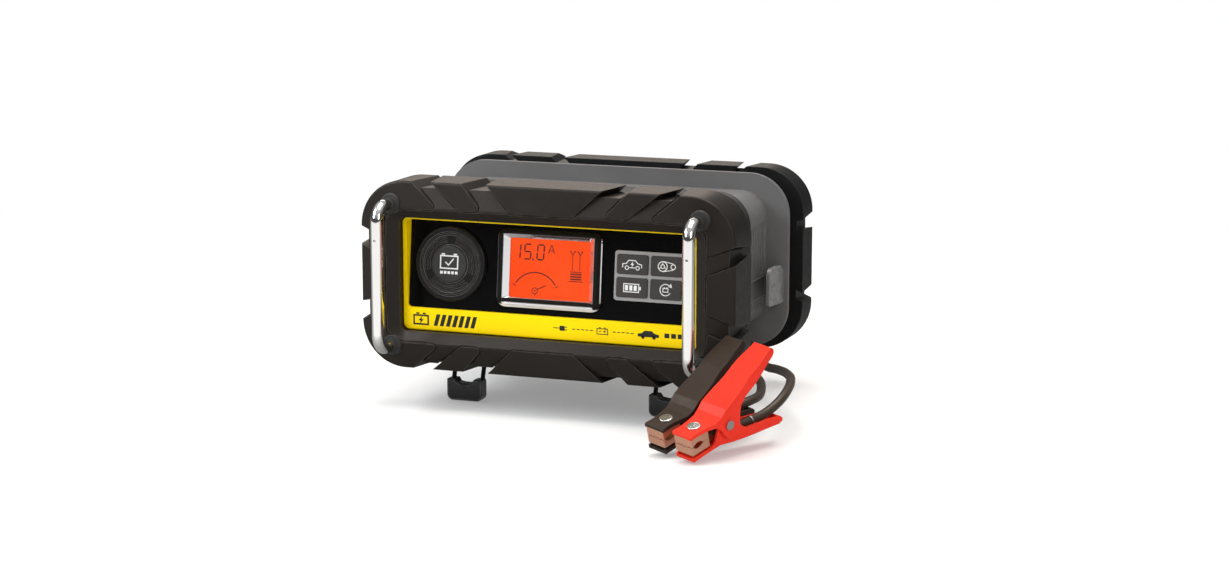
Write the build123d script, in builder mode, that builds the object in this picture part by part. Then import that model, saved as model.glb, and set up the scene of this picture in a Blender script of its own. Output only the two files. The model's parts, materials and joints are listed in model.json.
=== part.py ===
"""Bench car battery charger: a wide box between two armoured rubber-like bumpers,
with a display panel, two chrome guard handles, four fold-down legs, two battery
clamps on stiff leads and a mains cord wound round the waist.

Frame: millimetres, +Z up, front face towards -Y, z = 0 is the floor under the
opened legs, and the origin is on the floor below the middle of the case."""

from build123d import *
import math
import os

os.makedirs("parts", exist_ok=True)

# ---------------------------------------------------------------- dimensions
# Suffixes: _w width along X, _h height, _r corner radius, _t thickness.
stand = 27.0                    # underside of the bumpers above the floor, legs open
body_w, body_h = 254.0, 122.0   # over the bumper pads
mid_z = stand + body_h / 2
ring_w, ring_h = 245.0, 114.0   # bumper rings between the pads
pad_r, ring_r = 30.0, 26.0
y_front_back = -55.0            # back edge of the front bumper
y_ridge = -87.0                 # outer front edge of the pads
y_crease = -90.0                # most forward line of the bumper
crease_w, crease_h, crease_r = 220.8, 89.0, 15.0
crease_cut_w, crease_cut_h, crease_cut_r = crease_w + 1.4, crease_h + 1.4, crease_r + 0.6
open_w, open_h, open_r = 202.2, 74.2, 4.0   # opening that frames the panel
y_open = -85.0
groove = 0.8                    # gap round each front pad

hollow_w, hollow_h, hollow_r = 237.0, 107.0, 23.0   # inside of the front bumper
rear_hollow_w, rear_hollow_h = 236.0, 106.0
collar_w, collar_h, collar_r = open_w + 5.2, open_h + 5.2, open_r + 2
collar_back_y = -66.0           # back of the collar and rod bosses in the front bumper
y_rear_back, y_rear_edge, y_rear_mid, y_rear_top = 57.0, 78.0, 85.5, 88.0
rear_inset = 5.0                # how much the rear face narrows at y_rear_mid

core_w, core_z0, core_z1 = 212.8, 47.0, 135.5   # waist of the case
core_r, core_t = 16.0, 2.5
core_y0, core_y1 = -58.0, 64.0
core_h = core_z1 - core_z0
core_mid = (core_z0 + core_z1) / 2 - mid_z
split_z, split_gap = 67.5, 0.06  # parting line of the waist shells, half gap
collar_y = 40.0                 # wide collar in front of the rear bumper
flange_t = 3.0
slab = 400.0                    # larger than any piece, for trimming

bumper_screw_x, bumper_screw_z = 108.0, 42.0    # heights are from mid_z
bumper_screw_y = 78.0           # seat of the screw heads
cover_screw_x, flange_screw_x, small_screw_z = 94.0, 111.0, 30.0
bumper_screws = [(sx * bumper_screw_x, sz * bumper_screw_z) for sz in (1, -1) for sx in (1, -1)]

cover_y, cover_t = 81.0, 3.0    # outer face of the rear cover
cover_screw_recess = 1.6
fan_x = -62.0

fascia_y = -80.0
panel_tilt = 6.0                # the panel leans back at the top
panel_y, panel_z = -75.0, 95.0  # a point on the panel plane
win_x0, win_x1, win_y0, win_y1 = -98.0, 98.0, -22.1, 35.5   # fascia window
win_w, win_h = win_x1 - win_x0, win_y1 - win_y0
win_mid = ((win_x0 + win_x1) / 2, (win_y0 + win_y1) / 2)

dial_x, dial_d, dial_hub_r = -68.4, 48.6, 20.4
dial_t = 3.4
button_d = 24.0
lcd_x, lcd_y, lcd_w, lcd_h = -0.35, 0.2, 71.3, 50.3
screen_w, screen_h = 54.2, 37.5
keys_x, keys_y, keys_w, keys_h = 67.0, -0.4, 47.0, 31.6
key_w, key_h, key_pitch_x, key_pitch_y = 21.0, 12.4, 22.6, 14.6

rod_d = 8.0                     # chrome guard handles
rod_x, rod_root, rod_reach = 104.7, -76.0, -110.0
rod_z0, rod_z1 = mid_z - 45.9, mid_z + 46.3
rod_ends = [(sx * rod_x, z) for sx in (1, -1) for z in (rod_z0, rod_z1)]

leg_x = 70.6
leg_pivot_z = 37.0
leg_front_y, leg_rear_y = -38.0, 47.0
leg_wire = 3.0
leg_half = 10.2                 # half spacing of the two posts
leg_splay = 9.5                 # how far the foot of a post stands out from its pivot
leg_foot_z = 9.0
shoe_splay, shoe_t = 11.0, 8.0
shoe_half_w, shoe_h = 12.5, 14.4
leg_mounts = [(x, y) for x in (leg_x, -leg_x) for y in (leg_front_y, leg_rear_y)]

cord_d = 6.2                    # mains cord
cord_exit_y, cord_exit_z = -30.0, 78.0
lead_d = 5.8                    # clamp leads
gland_x, red_gland_y, black_gland_y = 44.0, 33.0, 17.0
under_z = core_z0 - lead_d / 2 - 0.9    # centre of the leads under the case


# ---------------------------------------------------------------- planes and output
def facing_front(x, y, z):
    """Plane at a point, facing -Y, with x to the right and y up."""
    return Plane(origin=(x, y, z), x_dir=(1, 0, 0), z_dir=(0, -1, 0))


def facing_back(x, y, z):
    """Plane at a point, facing +Y; its y axis points down."""
    return Plane(origin=(x, y, z), x_dir=(1, 0, 0), z_dir=(0, 1, 0))


def facing_right(x, y, z):
    """Plane at a point, facing +X; its axes are the frame's Y and Z."""
    return Plane(origin=(x, y, z), x_dir=(0, 1, 0), z_dir=(1, 0, 0))


def facing_up(x, y, z):
    """Plane at a point, facing +Z."""
    return Plane(origin=(x, y, z), x_dir=(1, 0, 0), z_dir=(0, 0, 1))


def facing_down(x, y, z):
    """Plane at a point, facing -Z; its y axis points to the front."""
    return Plane(origin=(x, y, z), x_dir=(1, 0, 0), z_dir=(0, 0, -1))


def at_y(y):
    """Plane facing the front at depth y, zero at mid height."""
    return facing_front(0, y, mid_z)


tilt = math.radians(panel_tilt)
panel = Plane(origin=(0, panel_y, panel_z), x_dir=(1, 0, 0),
              z_dir=(0, -math.cos(tilt), math.sin(tilt)))
outward = Axis((0, panel_y, panel_z), (0, -math.cos(tilt), math.sin(tilt)))   # out of the panel


def panel_at(x, y):
    """The panel plane with its origin moved to (x, y) on the panel."""
    return Plane(origin=panel.from_local_coords((x, y, 0)), x_dir=(1, 0, 0), z_dir=panel.z_dir)


def finish(builder, name):
    """Label the finished piece and write it as its own STEP file."""
    builder.part.label = name
    export_step(builder.part, f"parts/{name}.step")


# ---------------------------------------------------------------- bumpers
def mirrored(points, x_signs=(1, -1), y_signs=(1, -1)):
    """Copies of the outline, one for each pair of signs."""
    return [[(sx * x, sy * y) for x, y in points] for sx in x_signs for sy in y_signs]


# Pad outlines seen from the front: (x, height from mid_z), in the upper right quarter.
PAD_TOP_MID = [(-21.0, 44.0), (21.0, 44.0), (38.5, 61.0), (46.0, 68.0), (-46.0, 68.0),
               (-38.5, 61.0)]
PAD_TOP_SIDE = [(41.0, 44.0), (56.5, 44.0), (77.0, 61.0), (85.0, 68.0), (65.0, 68.0),
                (57.5, 61.0)]
PAD_CORNER = [(71.0, 43.6), (104.0, 43.6), (109.2, 38.4), (109.2, 24.0), (127.0, 31.2),
              (136.0, 34.6), (136.0, 72.0), (103.0, 72.0), (92.5, 61.0)]
PAD_SIDE = [(109.4, -11.8), (109.4, 11.8), (127.0, 18.3), (136.0, 21.6), (136.0, -21.6),
            (127.0, -18.3)]
PAD_OUTLINES = (mirrored(PAD_TOP_MID, x_signs=(1,)) + mirrored(PAD_TOP_SIDE)
                + mirrored(PAD_CORNER) + mirrored(PAD_SIDE, y_signs=(1,)))
PAD_INNER_LIMIT = 44.5      # pad corners nearer to mid height than this are rounded


def pad_prisms(y_tip, depth, grow=0.0):
    """Tapered prisms that cut the raised pads out of the outer envelope; they widen
    away from y_tip. A positive depth runs forward. grow enlarges them all round."""
    shapes = []
    for points in PAD_OUTLINES:
        with BuildPart() as prism:
            with BuildSketch(at_y(y_tip)):
                with BuildLine():
                    Polyline(*points, close=True)
                make_face()
                fillet(vertices().filter_by(lambda corner: abs(corner.Y) < PAD_INNER_LIMIT), 2.0)
                if grow:
                    offset(amount=grow)
            extrude(amount=depth, taper=-6.0)
        shapes.append(prism.part)
    return shapes


def bumper_envelope(width, height, radius, y_back, y_edge, y_mid, y_top, inset=0.0):
    """Solid block with a sloped face: straight walls from y_back to y_edge, narrowing
    by inset up to y_mid, then sloping to the crease at y_top."""
    with BuildPart() as envelope:
        with BuildSketch(at_y(y_back)):
            RectangleRounded(width, height, radius)
        extrude(amount=y_back - y_edge)
        if y_mid != y_edge:
            with BuildSketch(at_y(y_edge)):
                RectangleRounded(width, height, radius)
            with BuildSketch(at_y(y_mid)):
                RectangleRounded(width - inset, height - inset, radius - inset / 2)
            loft()
        with BuildSketch(at_y(y_mid)):
            RectangleRounded(width - inset, height - inset, radius - inset / 2)
        with BuildSketch(at_y(y_top)):
            RectangleRounded(crease_w, crease_h, crease_r)
        loft()
    return envelope.part


def front_ring(inset):
    """Front bumper without its pads, with its outer surface moved in by inset."""
    y_edge = y_ridge + 2.2 + inset
    return bumper_envelope(ring_w - 2 * inset, ring_h - 2 * inset, ring_r - inset,
                           y_front_back, y_edge, y_edge, y_crease + 0.5 + inset)


# front bumper
front_pads = bumper_envelope(body_w, body_h, pad_r, y_front_back, y_ridge, y_ridge, y_crease)
front_ring_outer = front_ring(0.0)
front_ring_floor = front_ring(groove)
y_pad_tip = y_crease - 1.5
with BuildPart() as pad_masks:
    add(pad_prisms(y_pad_tip, -40))
# the ring, with a narrow groove left open round every pad
with BuildPart() as grooved_ring:
    add(front_ring_outer)
    add(pad_prisms(y_pad_tip, -40, groove), mode=Mode.SUBTRACT)
    add(front_ring_floor)
with BuildPart() as front_bumper:
    add(front_pads)
    ridge = front_bumper.edges().filter_by(
        lambda edge: abs(edge.center().Y - y_ridge) < 0.01 and edge.bounding_box().size.Y < 0.01)
    fillet(ridge, 1.6)
    add(pad_masks.part, mode=Mode.INTERSECT)
    add(grooved_ring.part)
    # sloped inner zone and straight opening
    with BuildSketch(at_y(y_crease - 1.0)):
        RectangleRounded(crease_cut_w, crease_cut_h, crease_cut_r)
    with BuildSketch(at_y(y_open)):
        RectangleRounded(open_w, open_h, open_r)
    loft(mode=Mode.SUBTRACT)
    with BuildSketch(at_y(y_open - 0.5)):
        RectangleRounded(open_w, open_h, open_r)
    extrude(amount=-45, mode=Mode.SUBTRACT)
    # hollow back with a collar round the opening and four rod bosses
    with BuildSketch(at_y(collar_back_y - 15.5)):
        RectangleRounded(hollow_w, hollow_h, hollow_r)
        RectangleRounded(collar_w, collar_h, collar_r, mode=Mode.SUBTRACT)
        with Locations(*[(x, z - mid_z) for x, z in rod_ends]):
            Circle(7.2, mode=Mode.SUBTRACT)
    extrude(amount=-15.5, mode=Mode.SUBTRACT)
    with BuildSketch(at_y(collar_back_y)):
        RectangleRounded(hollow_w, hollow_h, hollow_r)
    extrude(amount=-20, mode=Mode.SUBTRACT)
    # rod sockets: grommet seat, rod hole and screw hole, as (y, radius, depth)
    for x, z in rod_ends:
        for y, radius, depth in ((-95.0, 6.6, 12.0), (-95.0, rod_d / 2 + 0.03, 25.0),
                                 (-75.0, 2.55, 12.0)):
            with BuildSketch(facing_back(x, y, z)):
                Circle(radius)
            extrude(amount=depth, mode=Mode.SUBTRACT)
finish(front_bumper, "front_bumper")

# rear bumper
rear_pads = bumper_envelope(body_w, body_h, pad_r, y_rear_back, y_rear_edge, y_rear_mid,
                            y_rear_top, rear_inset)
rear_ring = bumper_envelope(ring_w, ring_h, ring_r, y_rear_back, y_rear_edge - 1.5,
                            y_rear_mid - 2.0, y_rear_top - 0.5, rear_inset)
rear_hollow_y = core_y1 + flange_t + 0.06   # just behind the rear flange of the waist
screw_entry_y = 92.0                        # clear of the rear face
with BuildPart() as rear_pad_masks:
    add(pad_prisms(y_rear_top + 1.5, 34))
with BuildPart() as rear_bumper:
    add(rear_pads)
    add(rear_pad_masks.part, mode=Mode.INTERSECT)
    add(rear_ring)
    with BuildSketch(at_y(y_rear_top + 1.0)):
        RectangleRounded(crease_cut_w, crease_cut_h, crease_cut_r)
    with BuildSketch(at_y(83.0)):
        RectangleRounded(open_w, open_h, open_r)
    loft(mode=Mode.SUBTRACT)
    with BuildSketch(at_y(83.5)):
        RectangleRounded(open_w, open_h, open_r)
    extrude(amount=30, mode=Mode.SUBTRACT)
    # hollow with a collar round the opening and four screw posts
    with BuildSketch(at_y(80.0)):
        RectangleRounded(rear_hollow_w, rear_hollow_h, hollow_r)
        RectangleRounded(collar_w, collar_h, collar_r, mode=Mode.SUBTRACT)
        with Locations(*bumper_screws):
            Circle(5.0, mode=Mode.SUBTRACT)
    extrude(amount=24, mode=Mode.SUBTRACT)
    # the skirt reaches forward over the case
    with BuildSketch(at_y(rear_hollow_y)):
        RectangleRounded(rear_hollow_w, rear_hollow_h, hollow_r)
    extrude(amount=rear_hollow_y - y_rear_back + 1.0, mode=Mode.SUBTRACT)
    # deep counterbored screw holes from behind, through the posts
    for radius, depth in ((3.6, screw_entry_y - bumper_screw_y), (1.75, 26.0)):
        with BuildSketch(at_y(screw_entry_y)):
            with Locations(*bumper_screws):
                Circle(radius)
        extrude(amount=depth, mode=Mode.SUBTRACT)
finish(rear_bumper, "rear_bumper")

# ---------------------------------------------------------------- fascia and panel
with BuildPart() as fascia_frame:
    with BuildSketch(at_y(fascia_y)):
        with Locations((0, 0.1)):
            RectangleRounded(open_w - 0.2, open_h - 0.4, 4.2)
    extrude(amount=-11.0)
    fillet(fascia_frame.faces().sort_by(Axis.Y)[0].edges(), 0.8)
    with BuildSketch(at_y(fascia_y - 1)):
        with Locations(win_mid):
            RectangleRounded(win_w, win_h, 2.6)
    extrude(amount=-14.0, mode=Mode.SUBTRACT)
finish(fascia_frame, "fascia_frame")

# tilted plate: an upright block trimmed in front of and behind the panel plane
with BuildPart() as control_panel:
    with BuildSketch(at_y(fascia_y)):
        with Locations(win_mid):
            RectangleRounded(win_w - 0.1, win_h - 0.1, 2.55)
    extrude(amount=-14.0)
    with BuildSketch(panel):
        Rectangle(230, 100)
    extrude(amount=20, mode=Mode.SUBTRACT)
    with BuildSketch(panel.offset(-2.5)):
        Rectangle(230, 100)
    extrude(amount=-20, mode=Mode.SUBTRACT)
    # openings for the dial, the display and the keys
    with BuildSketch(panel.offset(1)):
        with Locations((dial_x, 0)):
            Circle(dial_hub_r + 0.2)
        with Locations((lcd_x, lcd_y)):
            Rectangle(lcd_w - 5, lcd_h - 5)
        with Locations((keys_x, keys_y)):
            RectangleRounded(keys_w - 3, keys_h - 3, 2)
    extrude(amount=-8, mode=Mode.SUBTRACT)
finish(control_panel, "control_panel")

# ---------------------------------------------------------------- display
display = panel_at(lcd_x, lcd_y)
with BuildPart() as lcd_bezel:
    with BuildSketch(display):
        RectangleRounded(lcd_w, lcd_h, 6.5)
    extrude(amount=4.2)
    chamfer(lcd_bezel.faces().sort_by(outward)[-1].edges(), 2.4)
    # neck that passes through the panel
    with BuildSketch(display.offset(-2.5)):
        RectangleRounded(lcd_w - 5.2, lcd_h - 5.2, 3.0)
    extrude(amount=2.5)
    # sloped frame round the screen, then the straight opening
    with BuildSketch(display.offset(4.6)):
        RectangleRounded(screen_w + 8.4, screen_h + 8.4, 3.4)
    with BuildSketch(display.offset(0.9)):
        RectangleRounded(screen_w + 0.6, screen_h + 0.6, 1.0)
    loft(mode=Mode.SUBTRACT)
    with BuildSketch(display.offset(1.2)):
        RectangleRounded(screen_w + 0.6, screen_h + 0.6, 1.0)
    extrude(amount=-8, mode=Mode.SUBTRACT)
finish(lcd_bezel, "lcd_bezel")

with BuildPart() as lcd_window:
    with BuildSketch(display.offset(-0.4)):
        RectangleRounded(screen_w + 0.5, screen_h + 0.5, 0.9)
    extrude(amount=1.0)
finish(lcd_window, "lcd_window")

with BuildPart() as lcd_module:
    with BuildSketch(display.offset(-2.4)):
        RectangleRounded(screen_w + 0.4, screen_h + 0.4, 0.9)
    extrude(amount=1.9)
    with BuildSketch(display.offset(-2.6)):
        Rectangle(screen_w + 6, screen_h + 6)
    extrude(amount=-3.2)
    # joins the front block to the back plate
    with BuildSketch(display.offset(-2.6)):
        RectangleRounded(screen_w + 0.4, screen_h + 0.4, 0.9)
    extrude(amount=0.3)
finish(lcd_module, "lcd_module")

# ---------------------------------------------------------------- dial and keys
dial = panel_at(dial_x, 0)
slot_span = 96.0    # degrees


def draw_ring_slot(mid_radius, width, start):
    """Outline of an arc slot, drawn in the open line builder."""
    inner, outer = mid_radius - width / 2, mid_radius + width / 2
    CenterArc((0, 0), outer, start, slot_span)
    CenterArc((0, 0), inner, start, slot_span)
    for angle in (math.radians(start), math.radians(start + slot_span)):
        ray = Vector(math.cos(angle), math.sin(angle))
        Line(ray * inner, ray * outer)


with BuildPart() as charge_dial:
    with BuildSketch(dial):
        Circle(dial_d / 2)
    extrude(amount=dial_t)
    fillet(charge_dial.faces().sort_by(outward)[-1].edges(), 1.6)
    with BuildSketch(dial.offset(-4.5)):
        Circle(dial_hub_r)
    extrude(amount=4.5)
    # rim groove and shallow recess, as (outer radius, inner radius, depth)
    for outer_radius, inner_radius, depth in ((20.9, 19.9, 0.7), (18.6, button_d / 2 + 0.6, 0.5)):
        with BuildSketch(dial.offset(dial_t)):
            Circle(outer_radius)
            Circle(inner_radius, mode=Mode.SUBTRACT)
        extrude(amount=-depth, mode=Mode.SUBTRACT)
    # three pairs of arc slots between the gaps at the top and lower left and right
    for start in (-20.0, 100.0, 220.0):
        for mid_radius, width in ((16.9, 1.1), (14.5, 0.9)):
            with BuildSketch(dial.offset(dial_t - 0.5)):
                with BuildLine():
                    draw_ring_slot(mid_radius, width, start)
                make_face()
            extrude(amount=-1.0, mode=Mode.SUBTRACT)
    with BuildSketch(dial.offset(5)):
        Circle(button_d / 2 + 0.08)
    extrude(amount=-12, mode=Mode.SUBTRACT)
finish(charge_dial, "charge_dial")

with BuildPart() as charge_button:
    with BuildSketch(dial.offset(-2.0)):
        Circle(button_d / 2)
    extrude(amount=6.4)
    fillet(charge_button.faces().sort_by(outward)[-1].edges(), 1.1)
    with BuildSketch(dial.offset(-3.0)):
        Circle(5.0)
    extrude(amount=1.0)
finish(charge_button, "charge_button")

keypad = panel_at(keys_x, keys_y)
with BuildPart() as keypad_frame:
    with BuildSketch(keypad):
        RectangleRounded(keys_w, keys_h, 2.2)
    extrude(amount=1.0)
    fillet(keypad_frame.faces().sort_by(outward)[-1].edges(), 0.5)
    with BuildSketch(keypad.offset(-2.4)):
        RectangleRounded(keys_w - 3.2, keys_h - 3.2, 1.9)
    extrude(amount=2.4)
    with BuildSketch(keypad.offset(2)):
        with GridLocations(key_pitch_x, key_pitch_y, 2, 2):
            RectangleRounded(key_w + 0.12, key_h + 0.12, 1.4)
    extrude(amount=-5, mode=Mode.SUBTRACT)
finish(keypad_frame, "keypad_frame")

for sx, column in ((-1, "left"), (1, "right")):
    for sy, row in ((-1, "bottom"), (1, "top")):
        with BuildPart() as key:
            with BuildSketch(keypad.offset(-2.2)):
                with Locations((sx * key_pitch_x / 2, sy * key_pitch_y / 2)):
                    RectangleRounded(key_w, key_h, 1.34)
            extrude(amount=4.1)
            fillet(key.faces().sort_by(outward)[-1].edges(), 0.6)
        finish(key, f"key_{row}_{column}")

# ---------------------------------------------------------------- waist shells
vent_y = 13.0
vent_pitch, vent_count, vent_slot_w = 4.0, 12, 1.9
upper_vent_z, plain_band_z, lower_vent_z = 97.9, 73.0, 62.6

with BuildPart() as spool:
    with BuildSketch(at_y(core_y0)):
        with Locations((0, core_mid)):
            RectangleRounded(core_w, core_h, core_r)
    extrude(amount=core_y0 - core_y1)
    # front flange closes the front bumper, rear flange carries the rear bumper
    with BuildSketch(at_y(core_y0)):
        RectangleRounded(hollow_w - 0.4, hollow_h - 0.4, hollow_r - 0.2)
    extrude(amount=-flange_t)
    with BuildSketch(at_y(core_y1)):
        RectangleRounded(226.0, 102.0, 20.0)
    extrude(amount=-flange_t)
    # wide collar, relieved below where the rear legs fold through it
    with BuildSketch(at_y(collar_y)):
        with Locations((0, 1.1)):
            RectangleRounded(244.0, 116.0, 27.4)
        with Locations(*[(x, core_z0 - 9.9 - mid_z) for x in (leg_x, -leg_x)]):
            Rectangle(30.0, 20.0, mode=Mode.SUBTRACT)
    extrude(amount=-flange_t)
    # hollow, open at the front, and the opening in the rear flange
    with BuildSketch(at_y(core_y0 - 1)):
        with Locations((0, core_mid)):
            RectangleRounded(core_w - 2 * core_t, core_h - 2 * core_t, core_r - core_t)
    extrude(amount=core_y0 - 1 - core_y1, mode=Mode.SUBTRACT)
    with BuildSketch(at_y(core_y1 - 1)):
        with Locations((0, -0.25)):
            RectangleRounded(190.0, 76.5, 17.5)
    extrude(amount=-8, mode=Mode.SUBTRACT)
    # side vents: a tall upper group, a plain recessed band and a short lower group
    for sx in (1, -1):
        with BuildSketch(facing_right(sx * core_w / 2, 0, 0)):
            with Locations((vent_y, upper_vent_z)):
                RectangleRounded(50, 36, 1.2)
            with Locations((vent_y, plain_band_z)):
                Rectangle(50, 11.6)
        extrude(amount=0.5, both=True, mode=Mode.SUBTRACT)
        with BuildSketch(facing_right(sx * core_w / 2, 0, 0)):
            for vent_z, slot_h in ((upper_vent_z, 32.5), (lower_vent_z, 6.6)):
                with Locations((vent_y, vent_z)):
                    with GridLocations(vent_pitch, 1.0, vent_count, 1):
                        RectangleRounded(vent_slot_w, slot_h, 0.9)
        extrude(amount=6, both=True, mode=Mode.SUBTRACT)
    # holes for the rear bumper screws and the front flange screws
    for sx in (1, -1):
        for sz in (1, -1):
            with BuildSketch(at_y(core_y1 + flange_t + 1)):
                with Locations((sx * bumper_screw_x, sz * bumper_screw_z)):
                    Circle(1.52)
            extrude(amount=3.0, mode=Mode.SUBTRACT)
    for sx in (1, -1):
        for sz in (1, -1):
            with Locations(facing_back(sx * flange_screw_x, core_y0 + flange_t,
                                       mid_z + sz * small_screw_z)):
                Hole(1.8, depth=5)

with BuildPart() as core_upper_shell:
    add(spool.part)
    with BuildSketch(Plane.XY):
        Rectangle(slab, slab)
    extrude(amount=split_z + split_gap, mode=Mode.SUBTRACT)
    # mains cord exit
    with BuildSketch(facing_right(-core_w / 2 - 3, cord_exit_y, cord_exit_z)):
        Circle(5.0)
    extrude(amount=10, mode=Mode.SUBTRACT)
finish(core_upper_shell, "core_upper_shell")

with BuildPart() as core_lower_shell:
    add(spool.part)
    with BuildSketch(Plane.XY.offset(split_z - split_gap)):
        Rectangle(slab, slab)
    extrude(amount=120, mode=Mode.SUBTRACT)
    # lead exits and the leg bracket screws
    with Locations(*[facing_down(gland_x, y, core_z0) for y in (red_gland_y, black_gland_y)]):
        Hole(5.0, depth=6)
    for x, y in leg_mounts:
        with Locations(facing_down(x, y, core_z0)):
            Hole(1.6, depth=6)
finish(core_lower_shell, "core_lower_shell")

# ---------------------------------------------------------------- storage clips
clip_x = 118.0
# side outline of a clip: (y, z)
CLIP_OUTLINE = [(collar_y, 62.4), (collar_y, 83.2), (32.0, 88.2), (9.0, 89.2), (9.0, 64.5),
                (collar_y, 62.4)]
with BuildPart() as storage_clips:
    for sx in (1, -1):
        with BuildSketch(facing_right(sx * clip_x, 0, 0)):
            with BuildLine():
                Polyline(*CLIP_OUTLINE)
            make_face()
            fillet(vertices().filter_by(lambda corner: corner.X < 10 and corner.Y > 80), 5.0)
            fillet(vertices().filter_by(lambda corner: 30 < corner.X < 34), 5.0)
            fillet(vertices().filter_by(lambda corner: corner.X < 10 and corner.Y < 66), 1.5)
        extrude(amount=1.2, both=True)
        # three triangular ribs on the inner side
        for z in (66.0, 75.2, 83.0):
            with BuildSketch(facing_up(sx * clip_x, 0, z)):
                with BuildLine():
                    Polyline((-sx * 1.0, collar_y), (-sx * 8.5, collar_y), (-sx * 1.0, 14.0),
                             (-sx * 1.0, collar_y))
                make_face()
            extrude(amount=0.9, both=True)
finish(storage_clips, "storage_clips")

# ---------------------------------------------------------------- rear cover
louvre_x = 34.0
with BuildPart() as rear_cover:
    with BuildSketch(at_y(cover_y)):
        RectangleRounded(open_w - 0.3, open_h - 0.3, 3.8)
    extrude(amount=cover_t)
    fillet(rear_cover.faces().sort_by(Axis.Y)[-1].edges(), 0.8)
    # rim on the inner side
    with BuildSketch(at_y(cover_y - cover_t)):
        RectangleRounded(open_w - 6, open_h - 6, 3.0)
        RectangleRounded(open_w - 11, open_h - 11, 2.0, mode=Mode.SUBTRACT)
    extrude(amount=11.0)
    # recessed field round the louvres
    with BuildSketch(at_y(cover_y)):
        with Locations((louvre_x, 0)):
            RectangleRounded(112, 56, 4)
    extrude(amount=0.8, mode=Mode.SUBTRACT)
    # fan grille: concentric arcs cut between four spokes
    with BuildSketch(at_y(cover_y + 1)):
        with Locations((fan_x, 0)):
            for inner_radius in (7.5, 12.5, 17.5, 22.5):
                Circle(inner_radius + 3.0)
                Circle(inner_radius, mode=Mode.SUBTRACT)
            Rectangle(60, 2.4, rotation=45, mode=Mode.SUBTRACT)
            Rectangle(60, 2.4, rotation=-45, mode=Mode.SUBTRACT)
    extrude(amount=8, mode=Mode.SUBTRACT)
    # vent louvres
    with BuildSketch(at_y(cover_y + 1)):
        with Locations((louvre_x, 0)):
            with GridLocations(1, 6.0, 1, 7):
                RectangleRounded(92, 2.2, 1.05)
    extrude(amount=8, mode=Mode.SUBTRACT)
    with Locations(*[facing_back(x, cover_y, mid_z + z)
                     for x in (-cover_screw_x, cover_screw_x)
                     for z in (-small_screw_z, small_screw_z)]):
        CounterBoreHole(1.7, 3.2, cover_screw_recess)
finish(rear_cover, "rear_cover")

# ---------------------------------------------------------------- handles
for sx, side_name in ((-1, "left"), (1, "right")):
    x = sx * rod_x
    with BuildPart() as rod:
        with BuildLine():
            FilletPolyline((x, rod_root, rod_z1), (x, rod_reach, rod_z1),
                           (x, rod_reach, rod_z0), (x, rod_root, rod_z0), radius=10.0)
        with BuildSketch(facing_front(x, rod_root, rod_z1)):
            Circle(rod_d / 2)
        sweep()
        # small hole facing the front, below the upper bend
        with BuildSketch(facing_back(x, rod_reach - 6, rod_z1 - 21.0)):
            Circle(0.9)
        extrude(amount=5.0, mode=Mode.SUBTRACT)
        # screw holes in both ends
        for z in (rod_z0, rod_z1):
            with BuildSketch(facing_front(x, rod_root + 1, z)):
                Circle(2.0)
            extrude(amount=10.0, mode=Mode.SUBTRACT)
    finish(rod, f"handle_{side_name}")

with BuildPart() as handle_grommets:
    for x, z in rod_ends:
        with BuildSketch(facing_front(x, -83.0, z)):
            Circle(6.55)
            Circle(rod_d / 2 + 0.03, mode=Mode.SUBTRACT)
        extrude(amount=7.8)
    fillet(handle_grommets.edges().filter_by(GeomType.CIRCLE).filter_by(
        lambda edge: edge.center().Y < -90.5 and edge.radius > 6), 0.9)
finish(handle_grommets, "handle_grommets")


# ---------------------------------------------------------------- screws
def screw(seat, head_radius, head_height, shank_radius, shank_length, socket_depth=0.0):
    """Screw driven from behind: head behind the seat point, shank towards the front,
    with a hexagonal socket in the head if socket_depth is given."""
    x, y, z = seat
    with BuildPart() as one_screw:
        with BuildSketch(facing_back(x, y, z)):
            Circle(head_radius)
        extrude(amount=head_height)
        with BuildSketch(facing_front(x, y, z)):
            Circle(shank_radius)
        extrude(amount=shank_length)
        if socket_depth:
            with BuildSketch(facing_front(x, y + head_height, z)):
                RegularPolygon(1.4, 6)
            extrude(amount=socket_depth, mode=Mode.SUBTRACT)
    return one_screw.part


with BuildPart() as handle_screws:
    for x, z in rod_ends:
        add(screw((x, collar_back_y, z), 4.2, 2.4, 2.0, 18.0, 1.4))
finish(handle_screws, "handle_screws")

with BuildPart() as case_screws:
    for sx in (1, -1):
        for sz in (1, -1):
            # rear bumper screws, heads deep in their holes
            add(screw((sx * bumper_screw_x, bumper_screw_y, mid_z + sz * bumper_screw_z),
                      3.2, 1.8, 1.48, 12.7, 1.1))
            small_z = mid_z + sz * small_screw_z
            # cover screws
            add(screw((sx * cover_screw_x, cover_y - cover_screw_recess, small_z),
                      3.0, 1.5, 1.6, 7.0))
            # front flange screws, heads behind the flange
            add(screw((sx * flange_screw_x, core_y0 + flange_t, small_z), 3.2, 1.8, 1.7, 7.0))
finish(case_screws, "case_screws")

# ---------------------------------------------------------------- electronics
pcb_t = 1.6
pcb_z = 53.0
pcb_top = pcb_z + pcb_t
transformer_x = -52.0

with BuildPart() as control_pcb:
    with BuildSketch(panel.offset(-6.2)):
        Rectangle(184, 50)
    extrude(amount=-pcb_t)
    # square blocks behind the dial and the keys
    with BuildSketch(panel.offset(-6.2)):
        with Locations((dial_x, 0)):
            Rectangle(7, 7)
        with Locations((keys_x, keys_y)):
            with GridLocations(key_pitch_x, key_pitch_y, 2, 2):
                Rectangle(6, 6)
    extrude(amount=1.6)
finish(control_pcb, "control_pcb")

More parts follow.
